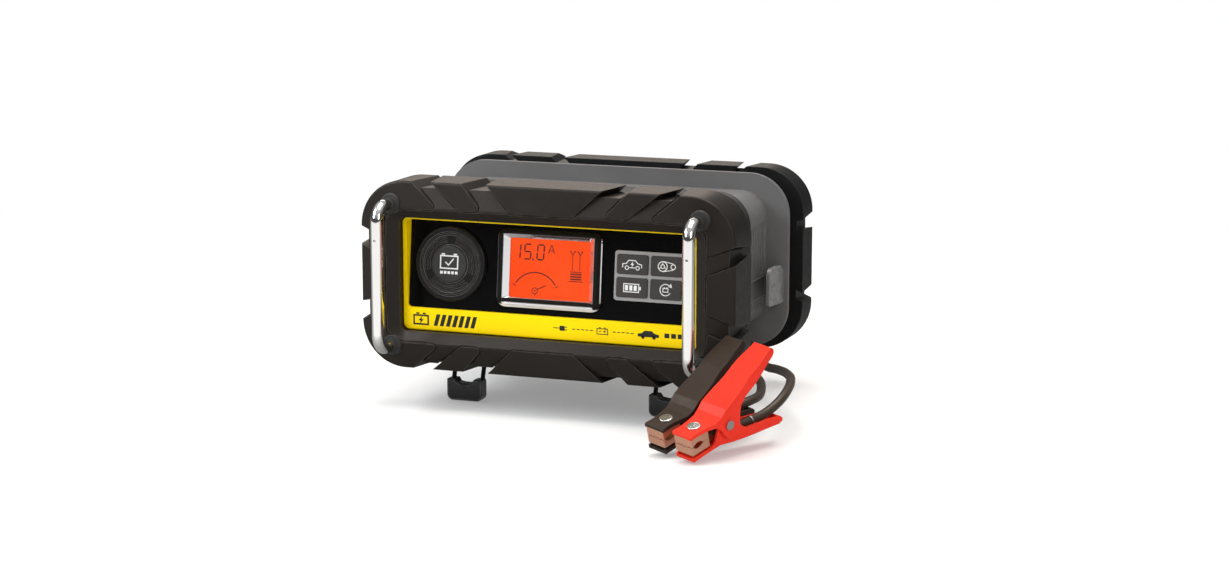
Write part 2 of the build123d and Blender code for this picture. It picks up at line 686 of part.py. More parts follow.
with BuildPart() as main_pcb:
    with BuildSketch(Plane.XY.offset(pcb_z)):
        Rectangle(176, 96)
    extrude(amount=pcb_t)
    # four standoffs under the board
    standoff_z = core_z0 + core_t + 0.01
    with BuildSketch(Plane.XY.offset(standoff_z)):
        with GridLocations(150, 80, 2, 2):
            Circle(3.0)
    extrude(amount=pcb_z - standoff_z)
finish(main_pcb, "main_pcb")

with BuildPart() as transformer_core:
    with BuildSketch(facing_up(transformer_x, 0, pcb_top)):
        Rectangle(48, 40)
    extrude(amount=42)
    with BuildSketch(facing_front(transformer_x, 30, pcb_top + 21)):
        with GridLocations(28, 1, 2, 1):
            Rectangle(12.4, 26.4)
    extrude(amount=60, mode=Mode.SUBTRACT)
finish(transformer_core, "transformer_core")

with BuildPart() as transformer_winding:
    with BuildSketch(facing_up(transformer_x, 0, pcb_top + 8.1)):
        RectangleRounded(39.8, 60, 6)
        Rectangle(15.8, 40.1, mode=Mode.SUBTRACT)
    extrude(amount=25.8)
finish(transformer_winding, "transformer_winding")

with BuildPart() as heatsink:
    with BuildSketch(facing_up(10, 0, pcb_top)):
        Rectangle(4, 76)
        with Locations((8, 0)):
            with GridLocations(1, 8, 1, 10):
                Rectangle(16, 1.6)
    extrude(amount=44)
finish(heatsink, "heatsink")

# x, y, radius, height
CAPACITORS = [(48, -22, 9, 32), (48, 2, 9, 32), (48, 26, 9, 32),
              (72, -18, 6.5, 22), (72, 2, 6.5, 22)]
with BuildPart() as capacitors:
    for x, y, radius, height in CAPACITORS:
        with BuildSketch(facing_up(x, y, pcb_top)):
            Circle(radius)
        extrude(amount=height)
    fillet(capacitors.edges().filter_by(GeomType.CIRCLE).filter_by(
        lambda edge: edge.center().Z > pcb_top + 10), 1.0)
finish(capacitors, "capacitors")

# ---------------------------------------------------------------- fan
fan_y1, fan_depth = 64.5, 15.0
fan_plate_t = 2.0
shaft_r = 1.5
fan = facing_front(fan_x, fan_y1, mid_z)    # rear face of the fan, facing into the case
with BuildPart() as fan_frame:
    with BuildSketch(fan):
        RectangleRounded(60, 60, 3)
        Circle(27.8, mode=Mode.SUBTRACT)
        with GridLocations(50, 50, 2, 2):
            Circle(2.2, mode=Mode.SUBTRACT)
    extrude(amount=fan_depth)
    # motor plate, four struts and the shaft on the inner side
    with BuildSketch(fan.offset(fan_depth)):
        Circle(12.0)
        Rectangle(58, 3, rotation=30)
        Rectangle(58, 3, rotation=120)
    extrude(amount=-fan_plate_t)
    with BuildSketch(fan.offset(fan_depth - fan_plate_t)):
        Circle(shaft_r)
    extrude(amount=-9.0)
finish(fan_frame, "fan_frame")

blade_count = 7
with BuildPart() as fan_rotor:
    with BuildSketch(fan.offset(1.2)):
        Circle(12.5)
        Circle(shaft_r + 0.06, mode=Mode.SUBTRACT)
    extrude(amount=10.0)
    # a twisted blade lofted between its two ends
    with BuildPart(mode=Mode.PRIVATE) as blade:
        with BuildSketch(fan.offset(2.0)):
            with BuildLine():
                Polyline((11.5, -3.2), (26.6, -7.5), (26.6, -5.6), (11.5, -1.4), (11.5, -3.2))
            make_face()
        with BuildSketch(fan.offset(10.2)):
            with BuildLine():
                Polyline((11.5, 1.4), (26.6, 5.6), (26.6, 7.5), (11.5, 3.2), (11.5, 1.4))
            make_face()
        loft()
    for k in range(blade_count):
        add(blade.part.rotate(Axis((fan_x, 0, mid_z), (0, 1, 0)), k * 360 / blade_count))
finish(fan_rotor, "fan_rotor")

# ---------------------------------------------------------------- legs
lug_half_w, lug_r = 8.6, 4.2
with BuildPart() as leg_brackets:
    for x, y in leg_mounts:
        with BuildSketch(facing_down(x, y, core_z0)):
            RectangleRounded(28, 9.6, 2)
        extrude(amount=2.4)
        # lug with a rounded underside round the pivot wire
        with BuildSketch(facing_right(x - lug_half_w, y, leg_pivot_z)):
            with BuildLine():
                Polyline((-lug_r, 9.0), (-lug_r, 0.0))
                ThreePointArc((-lug_r, 0.0), (0.0, -lug_r), (lug_r, 0.0))
                Polyline((lug_r, 0.0), (lug_r, 9.0), (-lug_r, 9.0))
            make_face()
            Circle(leg_wire / 2 + 0.06, mode=Mode.SUBTRACT)
        extrude(amount=2 * lug_half_w)
        # screw stem that passes into the case
        with BuildSketch(facing_up(x, y, core_z0)):
            Circle(1.55)
        extrude(amount=2.4)
finish(leg_brackets, "leg_brackets")

# Shoe outline in a plane whose y axis points down, so heights are negative: (x, -height).
SHOE_OUTLINE = [(-shoe_half_w, -shoe_h), (-6.6, -shoe_h), (-5.0, -12.0), (-1.6, -11.4),
                (1.6, -11.4), (5.0, -12.0), (6.6, -shoe_h), (shoe_half_w, -shoe_h),
                (shoe_half_w, 0.0), (-shoe_half_w, 0.0), (-shoe_half_w, -shoe_h)]


def leg(x, y, away, name):
    """Wire bail and shoe of the leg pivoted at (x, y); away is the sign of Y in which
    the leg splays."""
    foot_y = y + away * leg_splay
    shoe_y = y + away * shoe_splay
    with BuildPart() as bail:
        with BuildLine():
            FilletPolyline((x, y, leg_pivot_z), (x - leg_half, y, leg_pivot_z),
                           (x - leg_half, foot_y, leg_foot_z), (x + leg_half, foot_y, leg_foot_z),
                           (x + leg_half, y, leg_pivot_z), (x + 0.02, y, leg_pivot_z),
                           radius=1.6)
        with BuildSketch(Plane(origin=(x, y, leg_pivot_z), x_dir=(0, 1, 0), z_dir=(-1, 0, 0))):
            Circle(leg_wire / 2)
        sweep()
    finish(bail, f"leg_bail_{name}")
    with BuildPart() as shoe:
        with BuildSketch(facing_back(x, shoe_y - shoe_t / 2, 0)):
            with BuildLine():
                Polyline(*SHOE_OUTLINE)
            make_face()
            fillet(vertices().filter_by(
                lambda corner: abs(corner.X) > 12.0 and corner.Y > -1.0), 4.0)
            fillet(vertices().filter_by(
                lambda corner: abs(corner.X) > 12.0 and corner.Y < -14.0), 1.2)
        extrude(amount=shoe_t)
        # bevel the outer face, except along the floor
        chamfer(shoe.edges().filter_by(
            lambda edge: abs(edge.center().Y - (shoe_y + away * shoe_t / 2)) < 0.01
            and edge.center().Z > 1.0 and edge.length > 1.0), 0.8)
        add(bail.part, mode=Mode.SUBTRACT)
    finish(shoe, f"leg_shoe_{name}")


for x, side_name in ((-leg_x, "left"), (leg_x, "right")):
    leg(x, leg_front_y, -1, f"front_{side_name}")
    leg(x, leg_rear_y, 1, f"rear_{side_name}")

# ---------------------------------------------------------------- clamps
# Clamp frame: tail runs from the jaw to the tail, axle along the pivot, rise to the upper jaw.
clamp_tail = Vector(0.435227, 0.848890, 0.299242).normalized()
pin_direction = Vector(0.899828, -0.420436, -0.115108)
clamp_axle = (pin_direction - clamp_tail * pin_direction.dot(clamp_tail)).normalized()
clamp_rise = clamp_axle.cross(clamp_tail)
red_place = Vector(120.84, -165.4, 11.06)
black_place = red_place + Vector(-21.2, 10.4, 0.9)
clamp_places = (red_place, black_place)
pivot = (30.0, 2.6)         # along tail, along rise
pin_r = 1.6
rivet_at = (10.9, 0)        # along tail, across
jaw_half_w, jaw_t = 7.0, 1.2
tooth_count = 5


def side_plane(place, across):
    """Side view of a clamp: x towards the tail, y from lower to upper jaw."""
    return Plane(origin=place + clamp_axle * across, x_dir=clamp_tail, z_dir=clamp_axle)


def plan_plane(place, rise):
    """Plan view of a clamp: x towards the tail, seen from above."""
    return Plane(origin=place + clamp_rise * rise, x_dir=clamp_tail, z_dir=clamp_rise)


# side outlines of the grips: (along tail, along rise)
UPPER_TOP = [(0.2, 7.5), (1.6, 8.0), (20.5, 8.0), (25.0, 10.0), (29.4, 13.4), (36.0, 16.0),
             (44.0, 19.2), (54.3, 24.2), (65.3, 28.6), (75.6, 32.4)]
UPPER_LOW = [(77.6, 30.6), (77.4, 28.2), (75.8, 26.3), (70.4, 23.7), (62.6, 20.0), (55.3, 16.1),
             (47.4, 12.9), (42.6, 9.8), (40.6, 5.4), (39.6, 0.0), (37.4, -4.6), (33.4, -6.6),
             (28.5, -6.4), (24.6, -1.4), (23.6, 1.9), (20.0, 4.9), (15.0, 5.5), (0.2, 5.5)]
LOWER_LOW = [(0.4, -9.4), (22.9, -8.7), (34.0, -11.8), (46.5, -14.7), (60.0, -17.4),
             (74.5, -20.3)]
LOWER_TOP = [(77.4, -19.7), (78.1, -17.9), (76.4, -15.9), (55.8, -10.4), (46.2, -8.2),
             (42.4, -5.0), (40.4, -0.6), (38.6, 3.6), (34.6, 6.2), (30.2, 6.5), (26.2, 5.4),
             (22.8, 1.4), (19.2, -5.4), (15.0, -6.8), (0.4, -6.9)]
# (along tail, half width) of the upper and lower grips
UPPER_HALF = [(-1.0, 8.1), (14.0, 8.1), (24.0, 9.9), (32.9, 10.2), (42.0, 9.6), (52.0, 8.6),
              (60.0, 8.7), (68.0, 7.7), (80.0, 6.9)]
LOWER_HALF = [(-1.0, 7.4), (12.0, 7.4), (24.0, 7.7), (44.0, 7.7), (58.0, 7.2), (80.5, 6.5)]


def draw_plan_outline(half_widths, inset=0.0):
    """Plan outline of a grip, moved in by inset, drawn in the open line builder."""
    one_side = [(x, y - inset) for x, y in half_widths]
    other_side = [(x, -y) for x, y in one_side]
    Spline(*one_side)
    Spline(*other_side)
    Line(one_side[0], other_side[0])
    Line(one_side[-1], other_side[-1])


def grip(place, name, outline, outer_edge, half_widths, wall, tail_step, pin_hole_r,
         rivet_hole_r=0.0):
    """Channel-shaped grip: the side outline cut by the plan outline, then hollowed.
    wall is positive on the upper grip and negative on the lower one; tail_step is the
    move from the last point of the outer edge to the end of the hollow."""
    thickness = abs(wall)
    with BuildPart() as body:
        with BuildSketch(side_plane(place, -14)):
            with BuildLine():
                Polyline(*outline, close=True)
            make_face()
        extrude(amount=28)
        with BuildSketch(plan_plane(place, -40)):
            with BuildLine():
                draw_plan_outline(half_widths)
            make_face()
        extrude(amount=90, mode=Mode.INTERSECT)
        with BuildSketch(side_plane(place, -10.3)):
            Rectangle(slab, slab)
        extrude(amount=20.6, mode=Mode.INTERSECT)
        inner_edge = [(x, y - wall) for x, y in outer_edge]
        start_x = inner_edge[0][0] - 5
        end_x = inner_edge[-1][0] + tail_step[0]
        far = math.copysign(60.0, -wall)    # the hollow is open towards the other grip
        with BuildPart(mode=Mode.PRIVATE) as cavity:
            with BuildSketch(side_plane(place, -14)):
                with BuildLine():
                    Polyline((start_x, inner_edge[0][1]), *inner_edge,
                             (end_x, inner_edge[-1][1] + tail_step[1]),
                             (end_x, inner_edge[-1][1] + far),
                             (start_x, inner_edge[0][1] + far), close=True)
                make_face()
            extrude(amount=28)
            with BuildSketch(plan_plane(place, -40)):
                with BuildLine():
                    draw_plan_outline(half_widths, thickness)
                make_face()
            extrude(amount=90, mode=Mode.INTERSECT)
        add(cavity.part, mode=Mode.SUBTRACT)
        with BuildSketch(side_plane(place, -14)):
            with Locations(pivot):
                Circle(pin_hole_r)
        extrude(amount=28, mode=Mode.SUBTRACT)
        if rivet_hole_r:
            with BuildSketch(plan_plane(place, 0)):
                with Locations(rivet_at):
                    Circle(rivet_hole_r)
            extrude(amount=12, mode=Mode.SUBTRACT)
    finish(body, name)


def jaw(place, name, upper):
    """Folded copper jaw: front plate with interlocking teeth, two cheeks and a base plate."""
    up = 1 if upper else -1
    base = 5.45 if upper else 5.3
    with BuildPart() as body:
        with BuildSketch(side_plane(place, -jaw_half_w)):
            with BuildLine():
                Polyline((0.6, 0.0), (0.6, up * base), (15.2, up * base), (15.2, up * 0.05),
                         (10.4, up * 0.05))
                ThreePointArc((10.4, up * 0.05), (5.8, up * 1.9), (1.8, up * 0.05))
                Line((1.8, up * 0.05), (0.6, 0.0))
            make_face()
        extrude(amount=2 * jaw_half_w)
        # hollow between the cheeks, behind the front plate
        with BuildSketch(side_plane(place, -jaw_half_w + 1.1)):
            with Locations(((25.0 + 1.8) / 2, up * (base - jaw_t - 5.0))):
                Rectangle(25.0 - 1.8, 10.0)
        extrude(amount=2 * jaw_half_w - 2.2, mode=Mode.SUBTRACT)
        # teeth along the front plate; the y axis of this plane runs against clamp_rise
        pitch = 2 * jaw_half_w / tooth_count
        side_x = jaw_half_w + 0.1
        zigzag = [(-side_x, 0.0)]
        for k in range(tooth_count):
            zigzag += [(-jaw_half_w + (k + 0.25) * pitch, -0.85),
                       (-jaw_half_w + (k + 0.75) * pitch, 0.85)]
        zigzag.append((side_x, 0.0))
        with BuildSketch(Plane(origin=place - clamp_tail, x_dir=clamp_axle, z_dir=clamp_tail)):
            with BuildLine():
                Polyline(*[(x, y - 0.17 * up) for x, y in zigzag],
                         (side_x, 3.0 * up), (-side_x, 3.0 * up), close=True)
            make_face()
        extrude(amount=2.9, mode=Mode.SUBTRACT)
        if upper:
            with BuildSketch(plan_plane(place, 0)):
                with Locations(rivet_at):
                    Circle(2.02)
            extrude(amount=12, mode=Mode.SUBTRACT)
        else:
            # blade that runs back inside the lower grip towards the lead
            with BuildSketch(plan_plane(place, -base)):
                with Locations((17.0, 0)):
                    Rectangle(14.0, 7.0)
            extrude(amount=jaw_t)
    finish(body, name)


def jaw_rivet(place, name):
    """Rivet that holds the upper jaw in the upper grip."""
    with BuildPart() as rivet:
        with BuildSketch(plan_plane(place, 8.01)):
            with Locations(rivet_at):
                Circle(4.3)
        extrude(amount=0.9)
        fillet(rivet.faces().sort_by(Axis(place, clamp_rise))[-1].edges(), 0.6)
        with BuildSketch(plan_plane(place, 3.6)):
            with Locations(rivet_at):
                Circle(2.0)
        extrude(amount=4.6)
        with BuildSketch(plan_plane(place, 4.24)):
            with Locations(rivet_at):
                Circle(3.2)
        extrude(amount=-0.8)
    finish(rivet, name)


for place, tint in ((red_place, "red"), (black_place, "black")):
    grip(place, f"{tint}_upper_grip", UPPER_LOW + UPPER_TOP, UPPER_TOP, UPPER_HALF,
         wall=1.8, tail_step=(-0.4, -1.0), pin_hole_r=1.66, rivet_hole_r=2.03)
    grip(place, f"{tint}_lower_grip", LOWER_LOW + LOWER_TOP, LOWER_LOW, LOWER_HALF,
         wall=-1.7, tail_step=(0.6, 1.2), pin_hole_r=1.62)
    jaw(place, f"{tint}_upper_jaw", upper=True)
    jaw(place, f"{tint}_lower_jaw", upper=False)
    jaw_rivet(place, f"{tint}_jaw_rivet")

with BuildPart() as clamp_pivot_pins:
    for place in clamp_places:
        with BuildSketch(side_plane(place, -10.9)):
            with Locations(pivot):
                Circle(pin_r)
        extrude(amount=21.8)
        # a head on each end
        for sign in (1, -1):
            with BuildSketch(side_plane(place, sign * 10.32)):
                with Locations(pivot):
                    Circle(3.0)
            extrude(amount=sign * 1.1)
finish(clamp_pivot_pins, "clamp_pivot_pins")

# springs are plain sleeves round the pins
with BuildPart() as clamp_springs:
    for place in clamp_places:
        with BuildSketch(side_plane(place, -5.2)):
            with Locations(pivot):
                Circle(3.7)
                Circle(2.4, mode=Mode.SUBTRACT)
        extrude(amount=10.4)
finish(clamp_springs, "clamp_springs")

# ---------------------------------------------------------------- leads
# Lead centre line in the lower grip, from behind the jaw to past the tail:
# (along tail, along rise, share of the sideways lean)
LEAD_IN_GRIP = [(24.5, -4.1, 0.0), (33.0, -6.6, 0.0), (44.0, -9.2, 0.0), (60.0, -11.9, 0.0),
                (70.5, -12.9, 0.1), (79.5, -12.4, 1.0)]
# lead centre lines from the clamps to the glands, in the frame: (x, y, z)
RED_RUN = [(159.0, -86.0, 28.2), (156.0, -64.0, 30.3), (149.5, -41.0, 30.0),
           (138.5, -18.0, 28.0), (126.0, 2.0, 25.3), (114.0, 19.0, 22.0), (103.0, 31.0, 29.0),
           (91.0, red_gland_y, under_z), (gland_x + 4, red_gland_y, under_z)]
BLACK_RUN = [(138.6, -72.0, 23.3), (134.6, -55.0, 24.4), (129.0, -39.0, 24.8),
             (121.3, -23.0, 24.4), (109.0, -4.0, 25.5), (98.0, 10.0, 33.0),
             (89.0, black_gland_y, under_z), (gland_x + 4, black_gland_y, under_z)]


def lead_points(place, lean, run):
    """Lead centre line; lean shifts it along the pivot axis where it leaves the grip."""
    points = [place + clamp_tail * along + clamp_rise * rise + clamp_axle * (share * lean)
              for along, rise, share in LEAD_IN_GRIP]
    return points + [Vector(*point) for point in run]


def cable(name, points, diameter, bend_radius):
    """Round cable along the points, with rounded bends."""
    with BuildPart() as body:
        with BuildLine():
            FilletPolyline(*points, radius=bend_radius)
        with BuildSketch(Plane(origin=points[0], z_dir=points[1] - points[0])):
            Circle(diameter / 2)
        sweep()
    finish(body, name)


cable("red_lead", lead_points(red_place, 0.0, RED_RUN), lead_d, 7.0)
cable("black_lead", lead_points(black_place, 3.5, BLACK_RUN), lead_d, 7.0)

# rings round the leads, square to the stretch of lead they sit on
ring_along = 56.0
(along_0, rise_0, _), (along_1, rise_1, _) = LEAD_IN_GRIP[2:4]
ring_rise = rise_0 + (rise_1 - rise_0) * (ring_along - along_0) / (along_1 - along_0)
ring_axis = clamp_tail * (along_1 - along_0) + clamp_rise * (rise_1 - rise_0)
with BuildPart() as lead_rings:
    for place in clamp_places:
        with BuildSketch(Plane(origin=place + clamp_tail * ring_along + clamp_rise * ring_rise,
                               x_dir=clamp_axle, z_dir=ring_axis)):
            Circle(lead_d / 2 + 0.42)
            Circle(lead_d / 2 + 0.06, mode=Mode.SUBTRACT)
        extrude(amount=1.2)
finish(lead_rings, "lead_rings")

# ---------------------------------------------------------------- mains cord and plug
plug_x, plug_y, plug_z0, plug_z1 = -117.0, 4.5, 92.0, 116.0
wind_gap = cord_d / 2 + 0.15    # from the waist to the centre of the cord
wind_x = core_w / 2 + wind_gap
wind_z0, wind_z1 = core_z0 - wind_gap, core_z1 + wind_gap
wind_y0, wind_pitch, wind_turns = -26.0, 6.6, 3

cord_points = [Vector(-97.0, cord_exit_y, cord_exit_z), Vector(-117.5, cord_exit_y, cord_exit_z),
               Vector(-112.5, -28.5, 104.0)]
for k in range(wind_turns):
    y = wind_y0 + wind_pitch * k
    if k:
        cord_points.append(Vector(-wind_x, y, wind_z0))
    cord_points += [Vector(-wind_x, y, wind_z1), Vector(wind_x, y, wind_z1),
                    Vector(wind_x, y, wind_z0)]
cord_points += [Vector(-wind_x, -4.0, wind_z0), Vector(-wind_x - 1.5, -1.0, 68.0),
                Vector(plug_x, plug_y, plug_z0 - 8.0), Vector(plug_x, plug_y, plug_z0)]
cable("mains_cord", cord_points, cord_d, 9.0)

# z, size along X, size along Y, corner radius
PLUG_SECTIONS = [(plug_z0, 11, 12, 3), (99.0, 16, 22, 5), (plug_z1, 19, 26, 6)]
with BuildPart() as mains_plug:
    for z, size_x, size_y, radius in PLUG_SECTIONS:
        with BuildSketch(facing_up(plug_x, plug_y, z)):
            RectangleRounded(size_x, size_y, radius)
    loft()
    fillet(mains_plug.faces().sort_by(Axis.Z)[-1].edges(), 1.0)
finish(mains_plug, "mains_plug")

with BuildPart() as plug_blades:
    with BuildSketch(facing_up(plug_x, plug_y, plug_z1)):
        with GridLocations(1, 12.7, 1, 2):
            Rectangle(6.4, 1.5)
    extrude(amount=17.0)
finish(plug_blades, "plug_blades")

# ---------------------------------------------------------------- glands
with BuildPart() as cable_glands:
    for y in (red_gland_y, black_gland_y):
        # strain relief boot under the case: the lead enters it from the side
        with BuildSketch(facing_down(gland_x + 5.0, y, core_z0)):
            RectangleRounded(15, 11, 2.5)
        extrude(amount=7.4)
        with BuildSketch(facing_up(gland_x, y, core_z0)):
            Circle(4.6)
        extrude(amount=3.4)
        with BuildSketch(facing_right(gland_x + 4, y, under_z)):
            Circle(lead_d / 2 + 0.05)
        extrude(amount=20, mode=Mode.SUBTRACT)
    # mains cord gland in the left wall: outer flange, then the sleeve through the wall;
    # as (outer radius, cord clearance, length along +X)
    for outer_radius, clearance, length in ((6.6, 0.35, -1.4), (4.95, 0.05, 3.4)):
        with BuildSketch(facing_right(-core_w / 2, cord_exit_y, cord_exit_z)):
            Circle(outer_radius)
            Circle(cord_d / 2 + clearance, mode=Mode.SUBTRACT)
        extrude(amount=length)
finish(cable_glands, "cable_glands")
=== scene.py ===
# Portable battery charger: yellow-banded case, sloping control panel, two clamps and a wound cord.
# The front faces -Y, +X is to the right seen from the front, +Z is up and the floor is at z = 0.
# Shapes are given in millimetres and written to Blender in metres.
import json
import math
from functools import cached_property

import bpy
from mathutils import Matrix, Vector


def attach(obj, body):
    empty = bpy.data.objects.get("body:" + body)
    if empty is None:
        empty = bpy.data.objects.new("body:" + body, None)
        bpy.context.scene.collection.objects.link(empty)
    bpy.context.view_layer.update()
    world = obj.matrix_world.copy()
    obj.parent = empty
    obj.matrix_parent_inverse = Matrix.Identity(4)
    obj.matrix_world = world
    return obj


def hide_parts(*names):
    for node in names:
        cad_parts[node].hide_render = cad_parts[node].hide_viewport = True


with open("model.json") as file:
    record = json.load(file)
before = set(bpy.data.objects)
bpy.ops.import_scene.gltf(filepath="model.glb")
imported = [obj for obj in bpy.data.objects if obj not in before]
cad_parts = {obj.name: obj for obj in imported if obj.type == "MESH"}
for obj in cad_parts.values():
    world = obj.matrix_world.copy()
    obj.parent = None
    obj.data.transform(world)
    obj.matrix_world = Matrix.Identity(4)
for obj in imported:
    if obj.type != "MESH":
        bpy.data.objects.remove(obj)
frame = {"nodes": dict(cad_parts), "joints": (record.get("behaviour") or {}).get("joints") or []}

MM = 0.001
BLACK = (0, 0, 0)
WHITE = (1, 1, 1)
scene = bpy.context.scene
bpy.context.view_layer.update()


# ------------------------------------------------------------------ node graph helper
BSDF_INPUTS = {
    "color": "Base Color", "rough": "Roughness", "metal": "Metallic", "spec": "Specular IOR Level",
    "spec_tint": "Specular Tint", "coat": "Coat Weight", "coat_rough": "Coat Roughness",
    "normal": "Normal", "emit": "Emission Color", "emit_strength": "Emission Strength",
    "sheen": "Sheen Weight", "subsurf": "Subsurface Weight", "sub_scale": "Subsurface Scale",
}


class Graph:
    """Node tree of a material or world; texture sizes, radii and depths are in millimetres."""

    def __init__(self, name, library="materials", output="ShaderNodeOutputMaterial",
                 space="Object"):
        self.owner = getattr(bpy.data, library).new(name)
        self.owner.use_nodes = True
        self.tree = self.owner.node_tree
        self.tree.nodes.clear()
        self.output = self.node(output)
        self.coords = self.node("ShaderNodeTexCoord").outputs[space]

    @cached_property
    def face_normal(self):
        return self.node("ShaderNodeNewGeometry").outputs["Normal"]

    def node(self, kind, inputs=None, **attributes):
        node = self.tree.nodes.new(kind)
        for key, value in attributes.items():
            setattr(node, key, value)
        for key, value in (inputs or {}).items():
            self.put(node.inputs[key], value)
        return node

    def put(self, socket, value):
        """Link a socket, or set a value; None leaves the default."""
        if isinstance(value, bpy.types.NodeSocket):
            self.tree.links.new(value, socket)
        elif value is not None:
            if socket.type == "RGBA" and len(value) == 3:
                value = (*value, 1.0)
            socket.default_value = value

    def noise(self, size, detail=3.0, rough=0.55, stretch=None):
        """Noise whose features are about `size` across; values near 0..1."""
        coords = self.coords
        if stretch:
            mapping = self.node("ShaderNodeMapping", {"Vector": coords, "Scale": stretch})
            coords = mapping.outputs[0]
        return self.node("ShaderNodeTexNoise", {
            "Vector": coords, "Scale": 1000.0 / size, "Detail": detail, "Roughness": rough,
        }).outputs["Fac"]

    def cells(self, size):
        """Distance to the nearest cell point."""
        return self.node("ShaderNodeTexVoronoi", {"Vector": self.coords, "Scale": 1000.0 / size},
                         feature="F1").outputs["Distance"]

    def bands(self, direction, scale, distortion, detail):
        return self.node("ShaderNodeTexWave", {
            "Vector": self.coords, "Scale": scale, "Distortion": distortion, "Detail": detail,
        }, bands_direction=direction).outputs["Fac"]

    def math(self, operation, first, second=0.0):
        return self.node("ShaderNodeMath", {0: first, 1: second}, operation=operation).outputs[0]

    def multiply(self, first, second):
        return self.math("MULTIPLY", first, second)

    def vary(self, base, noise, amount):
        """Base value swung up and down by noise."""
        swing = self.multiply(self.math("SUBTRACT", noise, 0.5), amount)
        return self.math("ADD", base, swing)

    def ramp(self, value, over, to=(0.0, 1.0)):
        """Clamped linear map from the range `over` to the range `to`."""
        return self.node("ShaderNodeMapRange", {
            0: value, 1: over[0], 2: over[1], 3: to[0], 4: to[1],
        }, clamp=True).outputs[0]

    def mix(self, factor, first, second):
        """Mix of two colours."""
        return self.node("ShaderNodeMix", {0: factor, 6: first, 7: second}, data_type="RGBA",
                         clamp_factor=True).outputs[2]

    def mix_value(self, factor, first, second):
        return self.node("ShaderNodeMix", {0: factor, 2: first, 3: second}, data_type="FLOAT",
                         clamp_factor=True).outputs[0]

    def mix_shader(self, factor, first, second):
        return self.node("ShaderNodeMixShader", {0: factor, 1: first, 2: second}).outputs[0]

    def rounded_normal(self, radius):
        return self.node("ShaderNodeBevel", {"Radius": radius * MM}, samples=4).outputs[0]

    def edge_dot(self, rounded):
        """1 on flat faces, less where the rounded normal leaves the face normal."""
        return self.node("ShaderNodeVectorMath", {0: rounded, 1: self.face_normal},
                         operation="DOT_PRODUCT").outputs["Value"]

    def bump(self, height, depth, normal=None):
        return self.node("ShaderNodeBump", {
            "Strength": 1.0, "Distance": depth * MM, "Height": height, "Normal": normal,
        }).outputs[0]

    def bsdf(self, **inputs):
        named = {BSDF_INPUTS[key]: value for key, value in inputs.items()}
        return self.node("ShaderNodeBsdfPrincipled", named).outputs[0]

    def end(self, shader):
        self.tree.links.new(shader, self.output.inputs["Surface"])
        return self.owner


def scaled(color, factor):
    return tuple(min(1.0, channel * factor) for channel in color)


# ------------------------------------------------------------------ plain surfaces
DUST_COLOR = (0.42, 0.38, 0.33)
DUST_ROUGH = 0.85
WORN_ROUGH = 0.3
ROUGH_RANGE = (0.03, 0.98)  # limits on the final roughness


def surface(name, *, base, rough, grain, grain_depth, mottle, bevel, metal=0.0, spec=0.5,
            rough_var=0.08, edge=None, edge_amount=0.6, even_edge=False, coat=0.0,
            coat_rough=0.1, stretch=None, scratch=0.0, dust=0.0, second=None,
            second_amount=0.5, sheen=0.0, wave_depth=0.0, tint=None):
    """Moulded, plated or bare surface: mottling, grain, smudges, edge wear and painted edge
    highlights, dust on top faces.
    """
    g = Graph(name)
    large = g.noise(size=38.0)
    mid = g.noise(size=5.5, detail=4.0)
    fine = g.noise(size=grain, detail=2.0, rough=0.6, stretch=stretch)

    if second is None:
        dark = scaled(base, 1 - mottle)
        light = scaled(base, 1 + mottle)
    else:
        patches = g.multiply(g.ramp(large, over=(0.35, 0.68)), second_amount)
        body = g.mix(patches, base, second)
        dark = g.mix(mottle, body, BLACK)
        light = g.mix(mottle * 0.5, body, WHITE)
    color = g.mix(g.ramp(large, over=(0.3, 0.7)), dark, light)
    specks = g.ramp(fine, over=(0.62, 0.8), to=(0.0, mottle))
    color = g.mix(specks, color, scaled(base, 1.6))
    roughness = g.vary(rough, mid, amount=2.4 * rough_var)
    roughness = g.vary(roughness, large, amount=1.4 * rough_var)

    normal = g.rounded_normal(bevel) if bevel else g.face_normal
    if edge is not None:
        # Lighter colour along edges: edge wear, and on the dial and the shoes a painted highlight.
        edge_wear_and_highlight = g.ramp(g.edge_dot(normal), over=(0.992, 0.86))
        if not even_edge:
            edge_wear_and_highlight = g.multiply(edge_wear_and_highlight, g.ramp(mid, over=(0.32, 0.6), to=(0.25, 1.0)))
        edge_wear_and_highlight = g.multiply(edge_wear_and_highlight, edge_amount)
        color = g.mix(edge_wear_and_highlight, color, edge)
        roughness = g.mix_value(g.multiply(edge_wear_and_highlight, 0.6), roughness, WORN_ROUGH)
    if dust:
        upward = g.node("ShaderNodeSeparateXYZ", {0: g.face_normal}).outputs["Z"]
        cover = g.multiply(g.ramp(upward, over=(0.4, 0.95)),
                           g.ramp(g.noise(size=1.6, detail=5.0, rough=0.7), over=(0.4, 0.72)))
        cover = g.multiply(cover, dust)
        color = g.mix(cover, color, DUST_COLOR)
        roughness = g.mix_value(cover, roughness, DUST_ROUGH)
    if scratch:
        along_x = g.noise(size=1.1, detail=2.0, rough=0.5, stretch=(0.05, 1.0, 1.0))
        along_z = g.noise(size=1.3, detail=2.0, rough=0.5, stretch=(1.0, 0.9, 0.06))
        lines = g.math("MAXIMUM", g.ramp(along_x, over=(0.70, 0.74)),
                       g.ramp(along_z, over=(0.70, 0.74)))
        roughness = g.math("ADD", roughness, g.multiply(lines, scratch))
    roughness = g.math("MAXIMUM", roughness, ROUGH_RANGE[0])
    roughness = g.math("MINIMUM", roughness, ROUGH_RANGE[1])

    if wave_depth:
        normal = g.bump(mid, depth=wave_depth, normal=normal)
    normal = g.bump(fine, depth=grain_depth, normal=normal)
    return g.end(g.bsdf(color=color, rough=roughness, metal=metal, spec=spec, coat=coat,
                        coat_rough=coat_rough, normal=normal, sheen=sheen, spec_tint=tint))
